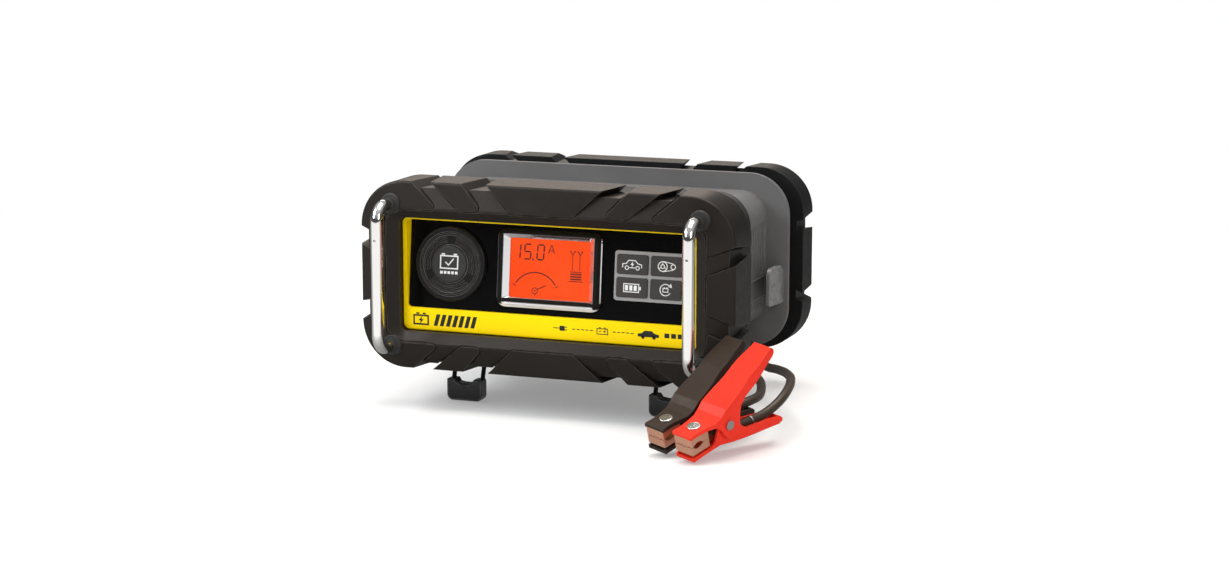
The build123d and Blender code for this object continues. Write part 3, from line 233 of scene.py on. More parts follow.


# Keys are material names. grain: grain size; bevel: edge radius; second: colour of broad patches.
# edge: lighter colour along edges, which is wear, and a painted highlight on the dial and the
# shoes.
SURFACES = {
    "bumper_plastic": dict(
        base=(0.0125, 0.0112, 0.0098), rough=0.42, grain=0.5, grain_depth=0.026, mottle=0.14,
        bevel=0.8, edge=(0.13, 0.115, 0.10), edge_amount=0.75, dust=0.02, scratch=0.05,
        spec=0.26, tint=(1.0, 0.85, 0.76)),
    # Darker, bluer copy of the bumper plastic: painted shade on the rear bumper.
    "rear_bumper_shaded_plastic": dict(
        base=(0.0075, 0.0078, 0.0082), rough=0.45, grain=0.5, grain_depth=0.026, mottle=0.14,
        bevel=0.8, edge=(0.06, 0.062, 0.065), edge_amount=0.5, dust=0.02, scratch=0.05,
        spec=0.22),
    "yellow_plastic": dict(
        base=(1.0, 0.70, 0.0), rough=0.36, grain=0.6, grain_depth=0.006, mottle=0.03,
        bevel=0.35, edge=(1.0, 0.82, 0.10), edge_amount=0.4, rough_var=0.06, spec=0.1),
    "panel_gloss": dict(
        base=(0.0016, 0.0015, 0.0016), rough=0.16, spec=0.12, grain=0.8, grain_depth=0.0015,
        mottle=0.2, bevel=0.25, rough_var=0.05, scratch=0.05),
    "chrome_rod": dict(
        base=(0.9, 0.89, 0.865), rough=0.07, metal=1.0, grain=2.0, grain_depth=0.0008,
        mottle=0.03, bevel=0.3, rough_var=0.015, scratch=0.03),
    # Dial: the light, even edge colour is a painted highlight along its ridges.
    "dial_plastic": dict(
        base=(0.0055, 0.005, 0.0047), rough=0.3, grain=0.35, grain_depth=0.002, mottle=0.1,
        rough_var=0.03, bevel=0.55, edge=(0.21, 0.19, 0.175), edge_amount=0.9, spec=0.3,
        even_edge=True),
    "button_plastic": dict(
        base=(0.021, 0.0205, 0.0185), rough=0.5, grain=0.3, grain_depth=0.014, mottle=0.08,
        bevel=0.4, edge=(0.12, 0.115, 0.11), edge_amount=0.5),
    "key_plastic": dict(
        base=(0.036, 0.031, 0.029), rough=0.48, grain=0.3, grain_depth=0.014, mottle=0.08,
        bevel=0.4, edge=(0.12, 0.11, 0.10), edge_amount=0.5),
    "grey_trim": dict(
        base=(0.30, 0.295, 0.295), rough=0.42, grain=0.4, grain_depth=0.008, mottle=0.05,
        bevel=0.3, edge=(0.5, 0.49, 0.48), edge_amount=0.4),
    "grey_case": dict(
        base=(0.128, 0.126, 0.127), rough=0.5, grain=0.5, grain_depth=0.022, mottle=0.07,
        bevel=0.6, edge=(0.30, 0.29, 0.29), edge_amount=0.35, dust=0.03, scratch=0.04, spec=0.3),
    "cover_plastic": dict(
        base=(0.055, 0.054, 0.055), rough=0.5, grain=0.5, grain_depth=0.022, mottle=0.08,
        bevel=0.5, edge=(0.16, 0.16, 0.16), edge_amount=0.4),
    "soft_rubber": dict(
        base=(0.014, 0.013, 0.013), rough=0.66, grain=0.4, grain_depth=0.02, mottle=0.15,
        bevel=0.35, edge=(0.06, 0.06, 0.06), edge_amount=0.4, sheen=0.1),
    "zinc_screw": dict(
        base=(0.58, 0.57, 0.54), rough=0.3, metal=1.0, grain=0.4, grain_depth=0.008,
        mottle=0.08, bevel=0.25, second=(0.62, 0.56, 0.42), second_amount=0.5),
    "black_screw": dict(
        base=(0.022, 0.022, 0.024), rough=0.38, metal=0.4, grain=0.3, grain_depth=0.01,
        mottle=0.15, bevel=0.2, edge=(0.28, 0.27, 0.26), edge_amount=0.6),
    "bracket_nylon": dict(
        base=(0.013, 0.0125, 0.012), rough=0.5, grain=0.4, grain_depth=0.018, mottle=0.12,
        bevel=0.4, edge=(0.08, 0.08, 0.08), edge_amount=0.5),
    "black_wire": dict(
        base=(0.010, 0.010, 0.011), rough=0.32, metal=0.2, grain=0.6, grain_depth=0.010,
        mottle=0.15, bevel=0.2, edge=(0.14, 0.14, 0.14), edge_amount=0.5),
    # Shoes: the light edge colour is a painted highlight.
    "shoe_plastic": dict(
        base=(0.012, 0.012, 0.013), rough=0.24, grain=0.5, grain_depth=0.008, mottle=0.15,
        bevel=1.4, edge=(0.3, 0.295, 0.29), edge_amount=0.9, coat=0.8, coat_rough=0.1),
    "red_grip": dict(
        base=(0.80, 0.027, 0.010), rough=0.40, grain=0.45, grain_depth=0.014, mottle=0.05,
        bevel=0.9, edge=(1.0, 0.12, 0.05), edge_amount=0.5, wave_depth=0.03, spec=0.17),
    "black_grip": dict(
        base=(0.024, 0.0155, 0.0110), rough=0.44, grain=0.45, grain_depth=0.016, mottle=0.1,
        bevel=0.9, edge=(0.12, 0.09, 0.07), edge_amount=0.5, wave_depth=0.03, spec=0.27,
        tint=(1.0, 0.80, 0.68)),
    "lead_jacket": dict(
        base=(0.040, 0.028, 0.020), rough=0.42, grain=0.5, grain_depth=0.014, mottle=0.12,
        bevel=0.0, sheen=0.05, wave_depth=0.05, tint=(1.0, 0.86, 0.74)),
    "cord_jacket": dict(
        base=(0.014, 0.014, 0.014), rough=0.5, grain=0.4, grain_depth=0.016, mottle=0.12,
        bevel=0.0, wave_depth=0.05),
    "plug_moulding": dict(
        base=(0.016, 0.0155, 0.015), rough=0.5, grain=0.4, grain_depth=0.018, mottle=0.12,
        bevel=0.6, edge=(0.09, 0.09, 0.09), edge_amount=0.4),
    "copper_plate": dict(
        base=(0.98, 0.52, 0.35), rough=0.38, metal=1.0, grain=0.3, grain_depth=0.010,
        mottle=0.07, bevel=0.3, second=(0.80, 0.38, 0.22), second_amount=0.35, rough_var=0.1,
        scratch=0.1, stretch=(1.0, 0.3, 1.0)),
    "rivet_steel": dict(
        base=(0.66, 0.65, 0.63), rough=0.24, metal=1.0, grain=0.3, grain_depth=0.008,
        mottle=0.06, bevel=0.3, second=(0.5, 0.46, 0.40), second_amount=0.3),
    "spring_steel": dict(
        base=(0.40, 0.395, 0.39), rough=0.28, metal=1.0, grain=0.4, grain_depth=0.006,
        mottle=0.1, bevel=0.0),
    "blade_brass": dict(
        base=(0.80, 0.62, 0.33), rough=0.26, metal=1.0, grain=0.3, grain_depth=0.006,
        mottle=0.06, bevel=0.2, second=(0.62, 0.42, 0.2), second_amount=0.3,
        stretch=(1.0, 0.15, 1.0)),
    "heatsink_aluminium": dict(
        base=(0.74, 0.74, 0.76), rough=0.36, metal=1.0, grain=0.5, grain_depth=0.012,
        mottle=0.05, bevel=0.2, stretch=(1.0, 0.06, 1.0)),
    "fan_plastic": dict(
        base=(0.014, 0.014, 0.015), rough=0.42, grain=0.4, grain_depth=0.012, mottle=0.12,
        bevel=0.4, edge=(0.09, 0.09, 0.09), edge_amount=0.4),
    "capacitor_sleeve": dict(
        base=(0.016, 0.024, 0.10), rough=0.26, grain=0.8, grain_depth=0.004, mottle=0.08,
        bevel=0.5, coat=0.3),
    "print_white": dict(
        base=(0.78, 0.78, 0.76), rough=0.5, grain=0.3, grain_depth=0.004, mottle=0.05,
        bevel=0.0, rough_var=0.05),
    "print_black": dict(
        base=(0.006, 0.0055, 0.005), rough=0.4, grain=0.3, grain_depth=0.004, mottle=0.2,
        bevel=0.0, rough_var=0.05),
}


# ------------------------------------------------------------------ special materials
# Edges of the bezel zones in metres, each a short fade from 0 to 1; the zones bound the painted
# dark reflection on the rim and the painted highlight band.
BEZEL_CENTRE_X = -0.00035
BEZEL_CENTRE_Z = 0.0955
BEZEL_ZONES = {  # side: distance either way from the centre in x; the others: z from the centre
    "side_inner": (0.0308, 0.0311), "side_outer": (0.0352, 0.0349),
    "top_inner": (0.0214, 0.0217),
    "low_outer": (-0.0219, -0.0216), "low_inner": (-0.0192, -0.0195),
    "bottom_end": (-0.0236, -0.0232), "painted_highlight_band": (-0.0217, -0.0222),
}


def bezel(name):
    """Bright plated display frame; its outer rim is painted near black as a painted dark
    reflection, and a pale non-metallic band along its bottom is a painted highlight.
    """
    g = Graph(name)
    position = g.node("ShaderNodeSeparateXYZ", {0: g.coords})
    side_x = g.math("ABSOLUTE", g.math("ADD", position.outputs["X"], -BEZEL_CENTRE_X))
    z = g.math("SUBTRACT", position.outputs["Z"], BEZEL_CENTRE_Z)

    def zone(value, key):
        return g.ramp(value, over=BEZEL_ZONES[key])

    side = g.multiply(zone(side_x, "side_inner"), zone(side_x, "side_outer"))
    top = g.multiply(zone(z, "top_inner"), zone(side_x, "side_outer"))
    low = g.multiply(zone(z, "low_outer"), zone(z, "low_inner"))
    rim = g.math("MAXIMUM", g.math("MAXIMUM", side, top), low)
    rim = g.multiply(rim, zone(z, "bottom_end"))
    large = g.noise(size=30.0)
    fine = g.noise(size=0.6, detail=2.0)
    color = g.mix(g.ramp(large, over=(0.3, 0.7)), (0.78, 0.78, 0.79), (0.86, 0.86, 0.86))
    # Pale non-metallic band along the bottom: a painted highlight.
    painted_highlight_band = g.multiply(zone(z, "painted_highlight_band"), 0.85)
    # Near-black outer rim: a painted dark reflection of the chrome.
    color = g.mix(rim, color, (0.012, 0.012, 0.011))
    rough = g.vary(g.mix_value(rim, 0.07, 0.45), large, amount=0.03)
    normal = g.bump(fine, depth=0.0006, normal=g.rounded_normal(radius=0.5))
    return g.end(g.bsdf(color=color, rough=rough, normal=normal,
                        metal=g.mix_value(g.math("MAXIMUM", rim, painted_highlight_band), 1.0, 0.0),
                        spec=g.mix_value(rim, 0.3, 0.02)))


def ferrite(name):
    """Stacked dark steel sheets with rust patches."""
    g = Graph(name)
    sheets = g.bands("X", scale=260.0, distortion=0.4, detail=2.0)
    grain = g.noise(size=0.7, detail=4.0)
    color = g.mix(g.ramp(sheets, over=(0.2, 0.8)), (0.03, 0.03, 0.032), (0.11, 0.105, 0.10))
    rust = g.ramp(g.noise(size=9.0), over=(0.55, 0.75), to=(0.0, 0.5))
    color = g.mix(rust, color, (0.13, 0.055, 0.025))
    normal = g.bump(g.math("ADD", sheets, grain), depth=0.08)
    rough = g.ramp(grain, over=(0.2, 0.8), to=(0.35, 0.65))
    return g.end(g.bsdf(color=color, rough=rough, metal=0.7, normal=normal))


def winding(name):
    """Glossy amber tape wound in bands."""
    g = Graph(name)
    turns = g.bands("Z", scale=55.0, distortion=0.6, detail=1.0)
    cloud = g.noise(size=4.0)
    color = g.mix(g.ramp(turns, over=(0.35, 0.65)), (0.55, 0.30, 0.03), (0.72, 0.44, 0.07))
    stain = g.ramp(cloud, over=(0.6, 0.8), to=(0.0, 0.5))
    color = g.mix(stain, color, (0.28, 0.12, 0.02))
    normal = g.bump(turns, depth=0.2)
    rough = g.ramp(cloud, over=(0.2, 0.8), to=(0.16, 0.34))
    return g.end(g.bsdf(color=color, rough=rough, coat=0.4, normal=normal))


def circuit(name):
    """Green board with a brick pattern of tracks and round metal pads."""
    g = Graph(name)
    tracks = g.node("ShaderNodeTexBrick", {
        "Vector": g.coords, "Scale": 90.0, "Mortar Size": 0.03, "Color1": (0.01, 0.13, 0.045),
        "Color2": (0.012, 0.17, 0.06), "Mortar": (0.05, 0.30, 0.12),
    }).outputs["Color"]
    pads = g.ramp(g.cells(size=5.0), over=(0.16, 0.12))
    color = g.mix(pads, tracks, (0.72, 0.70, 0.66))
    normal = g.bump(g.noise(size=1.0), depth=0.05)
    return g.end(g.bsdf(color=color, rough=g.mix_value(pads, 0.3, 0.22),
                        metal=g.multiply(pads, 0.9), coat=0.3, normal=normal))


def display(name):
    """Backlit screen: nearly even orange red with a faint dot grid."""
    g = Graph(name)
    cloud = g.noise(size=30.0, detail=2.0)
    dots = g.cells(size=0.5)
    hot = g.mix(g.ramp(cloud, over=(0.3, 0.7)), (1.0, 0.074, 0.010), (1.0, 0.092, 0.016))
    hot = g.mix(g.ramp(dots, over=(0.2, 0.7), to=(0.0, 0.05)), hot, (0.7, 0.03, 0.004))
    normal = g.bump(dots, depth=0.01)
    unlit = g.mix(0.8, hot, BLACK)  # the screen's own colour is a fifth of its glow
    rough = g.ramp(cloud, over=(0.2, 0.8), to=(0.4, 0.55))
    return g.end(g.bsdf(color=unlit, rough=rough, emit=hot, emit_strength=0.9, normal=normal,
                        spec=0.05))


def glass(name):
    """Clear display window with faint smudges."""
    g = Graph(name)
    smear = g.noise(size=7.0, detail=5.0, rough=0.65, stretch=(1.0, 1.0, 0.35))
    dust = g.ramp(g.cells(size=1.3), over=(0.05, 0.03), to=(0.0, 0.25))
    gloss_rough = g.ramp(smear, over=(0.3, 0.7), to=(0.03, 0.16))
    gloss = g.node("ShaderNodeBsdfGlossy", {"Color": WHITE, "Roughness": gloss_rough})
    clear = g.node("ShaderNodeBsdfTransparent", {"Color": (0.97, 0.965, 0.96)})
    fresnel = g.node("ShaderNodeFresnel", {"IOR": 1.38}).outputs[0]
    # Reflection is held well below the full Fresnel amount.
    shine = g.math("ADD", g.multiply(fresnel, 0.12), g.multiply(dust, 0.01))
    return g.end(g.mix_shader(shine, clear.outputs[0], gloss.outputs[0]))


def smoke(name):
    """Translucent grey clip plastic, paler and denser along its edges."""
    g = Graph(name)
    large = g.noise(size=16.0)
    fine = g.noise(size=0.5)
    rounded = g.rounded_normal(radius=0.5)
    rim = g.ramp(g.edge_dot(rounded), over=(0.99, 0.85), to=(0.0, 0.7))
    color = g.mix(g.ramp(large, over=(0.3, 0.7)), (0.23, 0.23, 0.232), (0.30, 0.30, 0.302))
    color = g.mix(rim, color, (0.6, 0.6, 0.6))
    normal = g.bump(fine, depth=0.01, normal=rounded)
    rough = g.ramp(large, over=(0.2, 0.8), to=(0.2, 0.36))
    body = g.bsdf(color=color, rough=rough, coat=0.2, normal=normal, subsurf=0.25,
                  sub_scale=0.004)
    clear = g.node("ShaderNodeBsdfTransparent", {"Color": (0.62, 0.62, 0.63)})
    density = g.math("ADD", 0.62, g.multiply(rim, 0.4))
    return g.end(g.mix_shader(density, clear.outputs[0], body))


def segment(name, dark, light, rough, emit, emit_strength):
    """Display figure; rough is one value, or a range that follows the noise."""
    g = Graph(name)
    cloud = g.noise(size=2.0)
    color = g.mix(g.ramp(cloud, over=(0.3, 0.7)), dark, light)
    normal = g.bump(cloud, depth=0.01)
    if isinstance(rough, tuple):
        rough = g.ramp(cloud, over=(0.2, 0.8), to=rough)
    return g.end(g.bsdf(color=color, rough=rough, normal=normal, emit=emit,
                        emit_strength=emit_strength))


MATERIALS = {name: surface(name, **look) for name, look in SURFACES.items()}
for name, build in (
        ("chrome_plating", bezel), ("transformer_steel", ferrite), ("winding_tape", winding),
        ("circuit_board", circuit), ("display_light", display), ("display_glass", glass),
        ("clip_plastic", smoke)):
    MATERIALS[name] = build(name)
MATERIALS["display_segment"] = segment(
    "display_segment", dark=(0.035, 0.003, 0.0015), light=(0.055, 0.004, 0.002),
    rough=(0.4, 0.6), emit=(0.1, 0.003, 0.0), emit_strength=0.3)
MATERIALS["display_segment_faint"] = segment(
    "display_segment_faint", dark=(0.55, 0.035, 0.006), light=(0.62, 0.04, 0.008),
    rough=0.5, emit=(0.55, 0.03, 0.004), emit_strength=0.7)

# ------------------------------------------------------------------ materials of the CAD pieces
TINTS = ("red", "black")
KEYS = ("top_left", "top_right", "bottom_left", "bottom_right")
LEGS = ("front_left", "front_right", "rear_left", "rear_right")
PIECES = {  # material: pieces
    "bumper_plastic": ["front_bumper"],
    "rear_bumper_shaded_plastic": ["rear_bumper"],
    "yellow_plastic": ["fascia_frame"],
    "panel_gloss": ["control_panel"],
    "chrome_plating": ["lcd_bezel"],
    "display_glass": ["lcd_window"],
    "display_light": ["lcd_module"],
    "dial_plastic": ["charge_dial"],
    "button_plastic": ["charge_button"],
    "key_plastic": ["key_" + key for key in KEYS],
    "grey_trim": ["keypad_frame"],
    "grey_case": ["core_upper_shell", "core_lower_shell"],
    "clip_plastic": ["storage_clips"],
    "cover_plastic": ["rear_cover"],
    "chrome_rod": ["handle_left", "handle_right"],
    "soft_rubber": ["handle_grommets", "cable_glands"],
    "zinc_screw": ["handle_screws"],
    "black_screw": ["case_screws"],
    "circuit_board": ["control_pcb", "main_pcb"],
    "transformer_steel": ["transformer_core"],
    "winding_tape": ["transformer_winding"],
    "heatsink_aluminium": ["heatsink"],
    "capacitor_sleeve": ["capacitors"],
    "fan_plastic": ["fan_frame", "fan_rotor"],
    "bracket_nylon": ["leg_brackets"],
    "black_wire": ["leg_bail_" + leg for leg in LEGS],
    "shoe_plastic": ["leg_shoe_" + leg for leg in LEGS],
    "rivet_steel": ["clamp_pivot_pins", "lead_rings", "red_jaw_rivet", "black_jaw_rivet"],
    "spring_steel": ["clamp_springs"],
    "lead_jacket": ["red_lead", "black_lead"],
    "cord_jacket": ["mains_cord"],
    "plug_moulding": ["mains_plug"],
    "blade_brass": ["plug_blades"],
    "red_grip": ["red_upper_grip", "red_lower_grip"],
    "black_grip": ["black_upper_grip", "black_lower_grip"],
    "copper_plate": [f"{tint}_{half}_jaw" for tint in TINTS for half in ("upper", "lower")],
}
FINISH = {piece: material for material, pieces in PIECES.items() for piece in pieces}
for name, piece in frame["nodes"].items():
    piece.data.materials.clear()
    piece.data.materials.append(MATERIALS[FINISH[name]])

# ------------------------------------------------------------------ mesh helpers (millimetres)
UV_TILE = 20.0  # length of one UV unit


def make(name, mesh, material, body, smooth=False):
    """Object from (vertices, faces, one UV per vertex), riding on a body."""
    verts, faces, uvs = mesh
    data = bpy.data.meshes.new(name)
    data.from_pydata([tuple(c * MM for c in vert) for vert in verts], [], faces)
    data.update()
    layer = data.uv_layers.new(name="UVMap")
    for loop in data.loops:
        layer.data[loop.index].uv = uvs[loop.vertex_index]
    data.polygons.foreach_set("use_smooth", [smooth] * len(data.polygons))
    data.materials.append(MATERIALS[material])
    made = bpy.data.objects.new(name, data)
    scene.collection.objects.link(made)
    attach(made, body)
    return made


def fillet_path(bends, step):
    """Dense points along a polyline of (corner, bend radius) pairs, its corners rounded."""
    corners = [Vector(point) for point, _ in bends]
    rounded = [corners[0]]
    for i in range(1, len(corners) - 1):
        corner, radius = corners[i], bends[i][1]
        before, after = corners[i - 1] - corner, corners[i + 1] - corner
        to_before, to_after = before.normalized(), after.normalized()
        angle = math.acos(max(-1, min(1, to_before.dot(to_after))))
        # A bend may use no more than about half of either neighbouring run.
        setback = min(radius / math.tan(angle / 2), before.length * 0.49, after.length * 0.49)
        radius = setback * math.tan(angle / 2)
        start, end = corner + to_before * setback, corner + to_after * setback
        centre = corner + (to_before + to_after).normalized() * (radius / math.sin(angle / 2))
        turn = math.pi - angle
        count = max(2, int(radius * turn / step) + 1)
        spoke0, spoke1 = start - centre, end - centre
        for j in range(count + 1):
            f = j / count
            if math.sin(turn) > 1e-6:
                spoke = spoke0 * math.sin((1 - f) * turn) + spoke1 * math.sin(f * turn)
                rounded.append(centre + spoke / math.sin(turn))
            else:
                rounded.append(start.lerp(end, f))
    rounded.append(corners[-1])

    dense = [rounded[0]]
    for point in rounded[1:]:
        base = dense[-1].copy()
        gap = (point - base).length
        if gap < 1e-4:
            continue
        count = max(1, int(gap / step))
        dense += [base.lerp(point, (j + 1) / count) for j in range(count)]
    return dense


def soften(path, keep_start, keep_end, rounds, fade=12.0):
    """Even out a dense path, leaving the given lengths at its ends as they are."""
    reached = [0.0]
    for here, following in zip(path, path[1:]):
        reached.append(reached[-1] + (following - here).length)
    total = reached[-1]
    weights = [max(0.0, min(1.0, (s - keep_start) / fade, (total - keep_end - s) / fade))
               for s in reached]
    for _ in range(rounds):
        inner = [path[i].lerp((path[i - 1] + path[i + 1]) / 2, 0.5 * weights[i])
                 for i in range(1, len(path) - 1)]
        path = [path[0]] + inner + [path[-1]]
    return path


def tube_mesh(path, radius, sides, rounding):
    """Closed tube along a dense path, narrowed at both ends: (vertices, faces, UVs)."""
    last = len(path) - 1
    tangents = [(path[min(i + 1, last)] - path[max(i - 1, 0)]).normalized()
                for i in range(last + 1)]
    guide = Vector((0, 0, 1)) if abs(tangents[0].z) < 0.9 else Vector((1, 0, 0))
    normal = (guide - tangents[0] * guide.dot(tangents[0])).normalized()
    end_radius = radius * (1 - rounding * 0.5)
    verts, faces, uvs = [], [], []

    def ring(centre, tangent, size, distance):
        binormal = tangent.cross(normal)
        for k in range(sides):
            angle = 2 * math.pi * k / sides
            verts.append(centre + normal * (math.cos(angle) * size)
                         + binormal * (math.sin(angle) * size))
            uvs.append((k / sides, distance / UV_TILE))

    distance = 0.0
    ring(path[0], tangents[0], end_radius, distance)
    for i, (centre, tangent) in enumerate(zip(path, tangents)):
        if i:
            distance += (centre - path[i - 1]).length
            normal = (normal - tangent * normal.dot(tangent)).normalized()
        if i == 0:
            centre = centre + tangent * radius * rounding * 0.5
        elif i == last:
            centre = centre - tangent * radius * rounding * 0.5
        ring(centre, tangent, radius, distance)
    ring(path[-1], tangents[-1], end_radius, distance)

    end_ring = len(verts) - sides
    for a in range(0, end_ring, sides):
        b = a + sides
        for k in range(sides):
            q = (k + 1) % sides
            faces.append((a + k, a + q, b + q, b + k))
    faces.append(tuple(range(sides - 1, -1, -1)))
    faces.append(tuple(range(end_ring, end_ring + sides)))
    return verts, faces, uvs


def sleeve(piece, path, radius, slot, sides):
    """Smooth tube with flat end caps in place of a CAD cable; slot names its material."""
    mesh = tube_mesh(path, radius, sides, rounding=0.35)
    made = make(piece + "_sleeve", mesh, slot, "housing", smooth=True)
    for face in made.data.polygons:
        if len(face.vertices) > 4:
            face.use_smooth = False
    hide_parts(piece)


def signed_area(points):
    return sum(a[0] * b[1] - b[0] * a[1] for a, b in zip(points, points[1:] + points[:1])) / 2


def circle(x, y, radius, sides):
    turns = [2 * math.pi * k / sides for k in range(sides)]
    return [(x + radius * math.cos(turn), y + radius * math.sin(turn)) for turn in turns]


def polar(centre, radius, degrees):
    angle = math.radians(degrees)
    return centre[0] + radius * math.cos(angle), centre[1] + radius * math.sin(angle)


# Strokes of the seven-segment figures: a top, b and c right, d bottom, e and f left, g middle.
SEGMENTS = {"0": "abcdef", "1": "bc", "2": "abged", "5": "afgcd"}


class Marks:
    """Thin flat prisms on a plane (origin, across, up, out), gathered into one mesh."""

    def __init__(self, plane, low, high):
        self.origin, self.across, self.up, self.out = (Vector(v) for v in plane)
        self.heights = (low, high)
        self.verts, self.faces, self.uvs = [], [], []

    def layer(self, points, height):
        for a, b in points:
            self.verts.append(self.origin + self.across * a + self.up * b + self.out * height)
            self.uvs.append((a / UV_TILE, b / UV_TILE))

    def poly(self, points):
        if signed_area(points) < 0:
            points = points[::-1]
        n, start = len(points), len(self.verts)
        for height in self.heights:
            self.layer(points, height)
        self.faces.append(tuple(range(start + n - 1, start - 1, -1)))
        self.faces.append(tuple(range(start + n, start + 2 * n)))
        for k in range(n):
            q = (k + 1) % n
            self.faces.append((start + k, start + q, start + n + q, start + n + k))

    def line(self, points, width, closed=False):
        """Stroke with mitred corners, one solid per run."""
        path = [Vector(point) for point in points]
        n = len(path)
        left, right = [], []
        for i, point in enumerate(path):
            if closed:
                before, after = path[i - 1], path[(i + 1) % n]
            else:
                before, after = path[max(i - 1, 0)], path[min(i + 1, n - 1)]
            arriving, leaving = point - before, after - point
            way_in = (arriving if arriving.length > 1e-6 else leaving).normalized()
            way_out = leaving.normalized() if leaving.length > 1e-6 else way_in
            normal_in = Vector((-way_in.y, way_in.x))
            mitre = normal_in + Vector((-way_out.y, way_out.x))
            mitre = mitre.normalized() if mitre.length > 1e-6 else normal_in
            reach = min(1.0 / max(0.35, mitre.dot(normal_in)), 2.2)  # limited at sharp corners
            left.append(point + mitre * (width / 2 * reach))
            right.append(point - mitre * (width / 2 * reach))
        if not closed:
            self.poly([tuple(point) for point in left + right[::-1]])
            return
        low_l = len(self.verts)
        low_r, high_l, high_r = low_l + n, low_l + 2 * n, low_l + 3 * n
        for height in self.heights:
            self.layer(left, height)
            self.layer(right, height)
        for k in range(n):
            q = (k + 1) % n
            self.faces += [(high_l + k, high_r + k, high_r + q, high_l + q),
                           (low_l + k, low_l + q, low_r + q, low_r + k),
                           (low_r + k, low_r + q, high_r + q, high_r + k),
                           (low_l + q, low_l + k, high_l + k, high_l + q)]

    def rect(self, x0, y0, x1, y1):
        self.poly([(x0, y0), (x1, y0), (x1, y1), (x0, y1)])

    def outline(self, x0, y0, x1, y1, width):
        self.line([(x0, y0), (x1, y0), (x1, y1), (x0, y1)], width, closed=True)

    def row(self, x, y, width, height, pitch, count):
        """Equal rectangles side by side, the first with its lower left corner at x, y."""
        for k in range(count):
            self.rect(x + pitch * k, y, x + width + pitch * k, y + height)

    def disc(self, x, y, radius, sides):
        self.poly(circle(x, y, radius, sides))

    def ring(self, x, y, radius, width, sides):
        self.line(circle(x, y, radius, sides), width, closed=True)

    def arc(self, centre, radius, start, end, width, steps):
        """Arc between two angles in degrees."""
        self.line([polar(centre, radius, start + (end - start) * k / steps)
                   for k in range(steps + 1)], width)

    def spoke(self, centre, inner, outer, degrees, width):
        """Radial stroke."""
        self.line([polar(centre, inner, degrees), polar(centre, outer, degrees)], width)

    def digit(self, figure, x, y, width, height, stroke, slant):
        """Seven-segment figure with its lower left corner at x, y."""
        gap = 0.14 * stroke + 0.08
        half, middle = stroke / 2, height / 2
        right, top = width - half, height - half

        def flat(level):
            near, far = gap + half, width - gap - half
            return [(near, level), (gap + stroke, level + half),
                    (width - gap - stroke, level + half), (far, level),
                    (width - gap - stroke, level - half), (gap + stroke, level - half)]

        def upright(at, low, high):
            return [(at, low + gap), (at + half, low + gap + half),
                    (at + half, high - gap - half), (at, high - gap),
                    (at - half, high - gap - half), (at - half, low + gap + half)]

        shapes = {"a": flat(top), "g": flat(middle), "d": flat(half),
                  "b": upright(right, middle, top), "c": upright(right, half, middle),
                  "f": upright(half, middle, top), "e": upright(half, half, middle)}
        for letter in SEGMENTS[figure]:
            self.poly([(x + px + slant * py, y + py) for px, py in shapes[letter]])

    def build(self, name, material, body, slot):
        make(name, (self.verts, self.faces, self.uvs), material, body)


PANEL_TILT = math.radians(6)  # the control panel leans back
TILT_COS, TILT_SIN = math.cos(PANEL_TILT), math.sin(PANEL_TILT)
PANEL = ((0, -75, 95), (1, 0, 0), (0, TILT_SIN, TILT_COS), (0, -TILT_COS, TILT_SIN))
BAND = ((0, -80, 0), (1, 0, 0), (0, 0, 1), (0, -1, 0))

# ------------------------------------------------------------------ display graphics
LCD_LAYER = dict(low=-0.49, high=-0.43)
LARGE_FIGURE = dict(y=5.6, height=10.4, stroke=0.95, slant=0.07)
SMALL_FIGURE = dict(width=1.5, height=2.3, stroke=0.36, slant=0.0)
SCALE_FIGURES = (  # figure, x, y of the small numbers round the gauge
    ("0", -27.4, -11.4), ("5", -20.9, -2.0), ("1", -12.4, 0.4), ("0", -10.4, 0.4),
    ("1", -1.9, -2.0), ("5", 0.1, -2.0), ("2", 5.4, -9.2), ("0", 7.2, -9.2))
GAUGE = (-10.3, -18.4)  # centre of the gauge arc
GAUGE_HUB = (-10.6, -13.9)
POSTS = (14.6, 19.6)    # x of the two battery posts


def display_figures():
    marks = Marks(PANEL, **LCD_LAYER)
    marks.digit("1", x=-26.4, width=5.2, **LARGE_FIGURE)
    marks.digit("5", x=-19.3, width=5.4, **LARGE_FIGURE)
    marks.rect(-13.1, 5.5, -12.0, 6.6)
    marks.digit("0", x=-10.4, width=5.4, **LARGE_FIGURE)
    # Ampere sign
    marks.line([(-2.0, 10.4), (-0.1, 15.6)], width=0.55)
    marks.line([(0.2, 15.6), (2.1, 10.4)], width=0.55)
    marks.rect(-0.35, 15.2, 0.45, 15.8)
    marks.rect(-0.85, 11.9, 0.95, 12.4)
    # Gauge: arc with end ticks, hub and needle, small pointer below the hub
    marks.arc(GAUGE, radius=16.2, start=33, end=147, width=0.7, steps=30)
    for degrees in (28, 152):
        marks.spoke(GAUGE, 15.2, 15.2 + 2.2, degrees, width=0.5)
    marks.ring(*GAUGE_HUB, radius=1.9, width=0.45, sides=28)
    marks.disc(*GAUGE_HUB, radius=0.55, sides=12)
    marks.line([(-9.0, -12.9), (-3.2, -10.2)], width=0.55)
    marks.line([(-10.9, -15.8), (-10.6, -16.6), (-10.3, -15.8)], width=0.4)
    # Battery with two clamps above it
    for x in POSTS:
        marks.line([(x - 1.4, 12.6), (x, 10.2), (x + 1.4, 12.6)], width=0.5)
        marks.line([(x, 10.1), (x, 0.6)], width=0.4)
        marks.disc(x - 1.4, 12.5, radius=0.5, sides=10)
        marks.disc(x + 1.4, 12.5, radius=0.5, sides=10)
    marks.line([(13.1, -0.4), (21.1, -0.4)], width=0.5)
    for k in range(3):
        y = -1.7 - 1.6 * k
        marks.rect(13.3, y - 0.55, 20.9, y + 0.35)
    marks.line([(12.4, -6.4), (21.8, -6.4)], width=0.5)
    marks.build("lcd_graphics", "display_segment", "housing", "display_light")


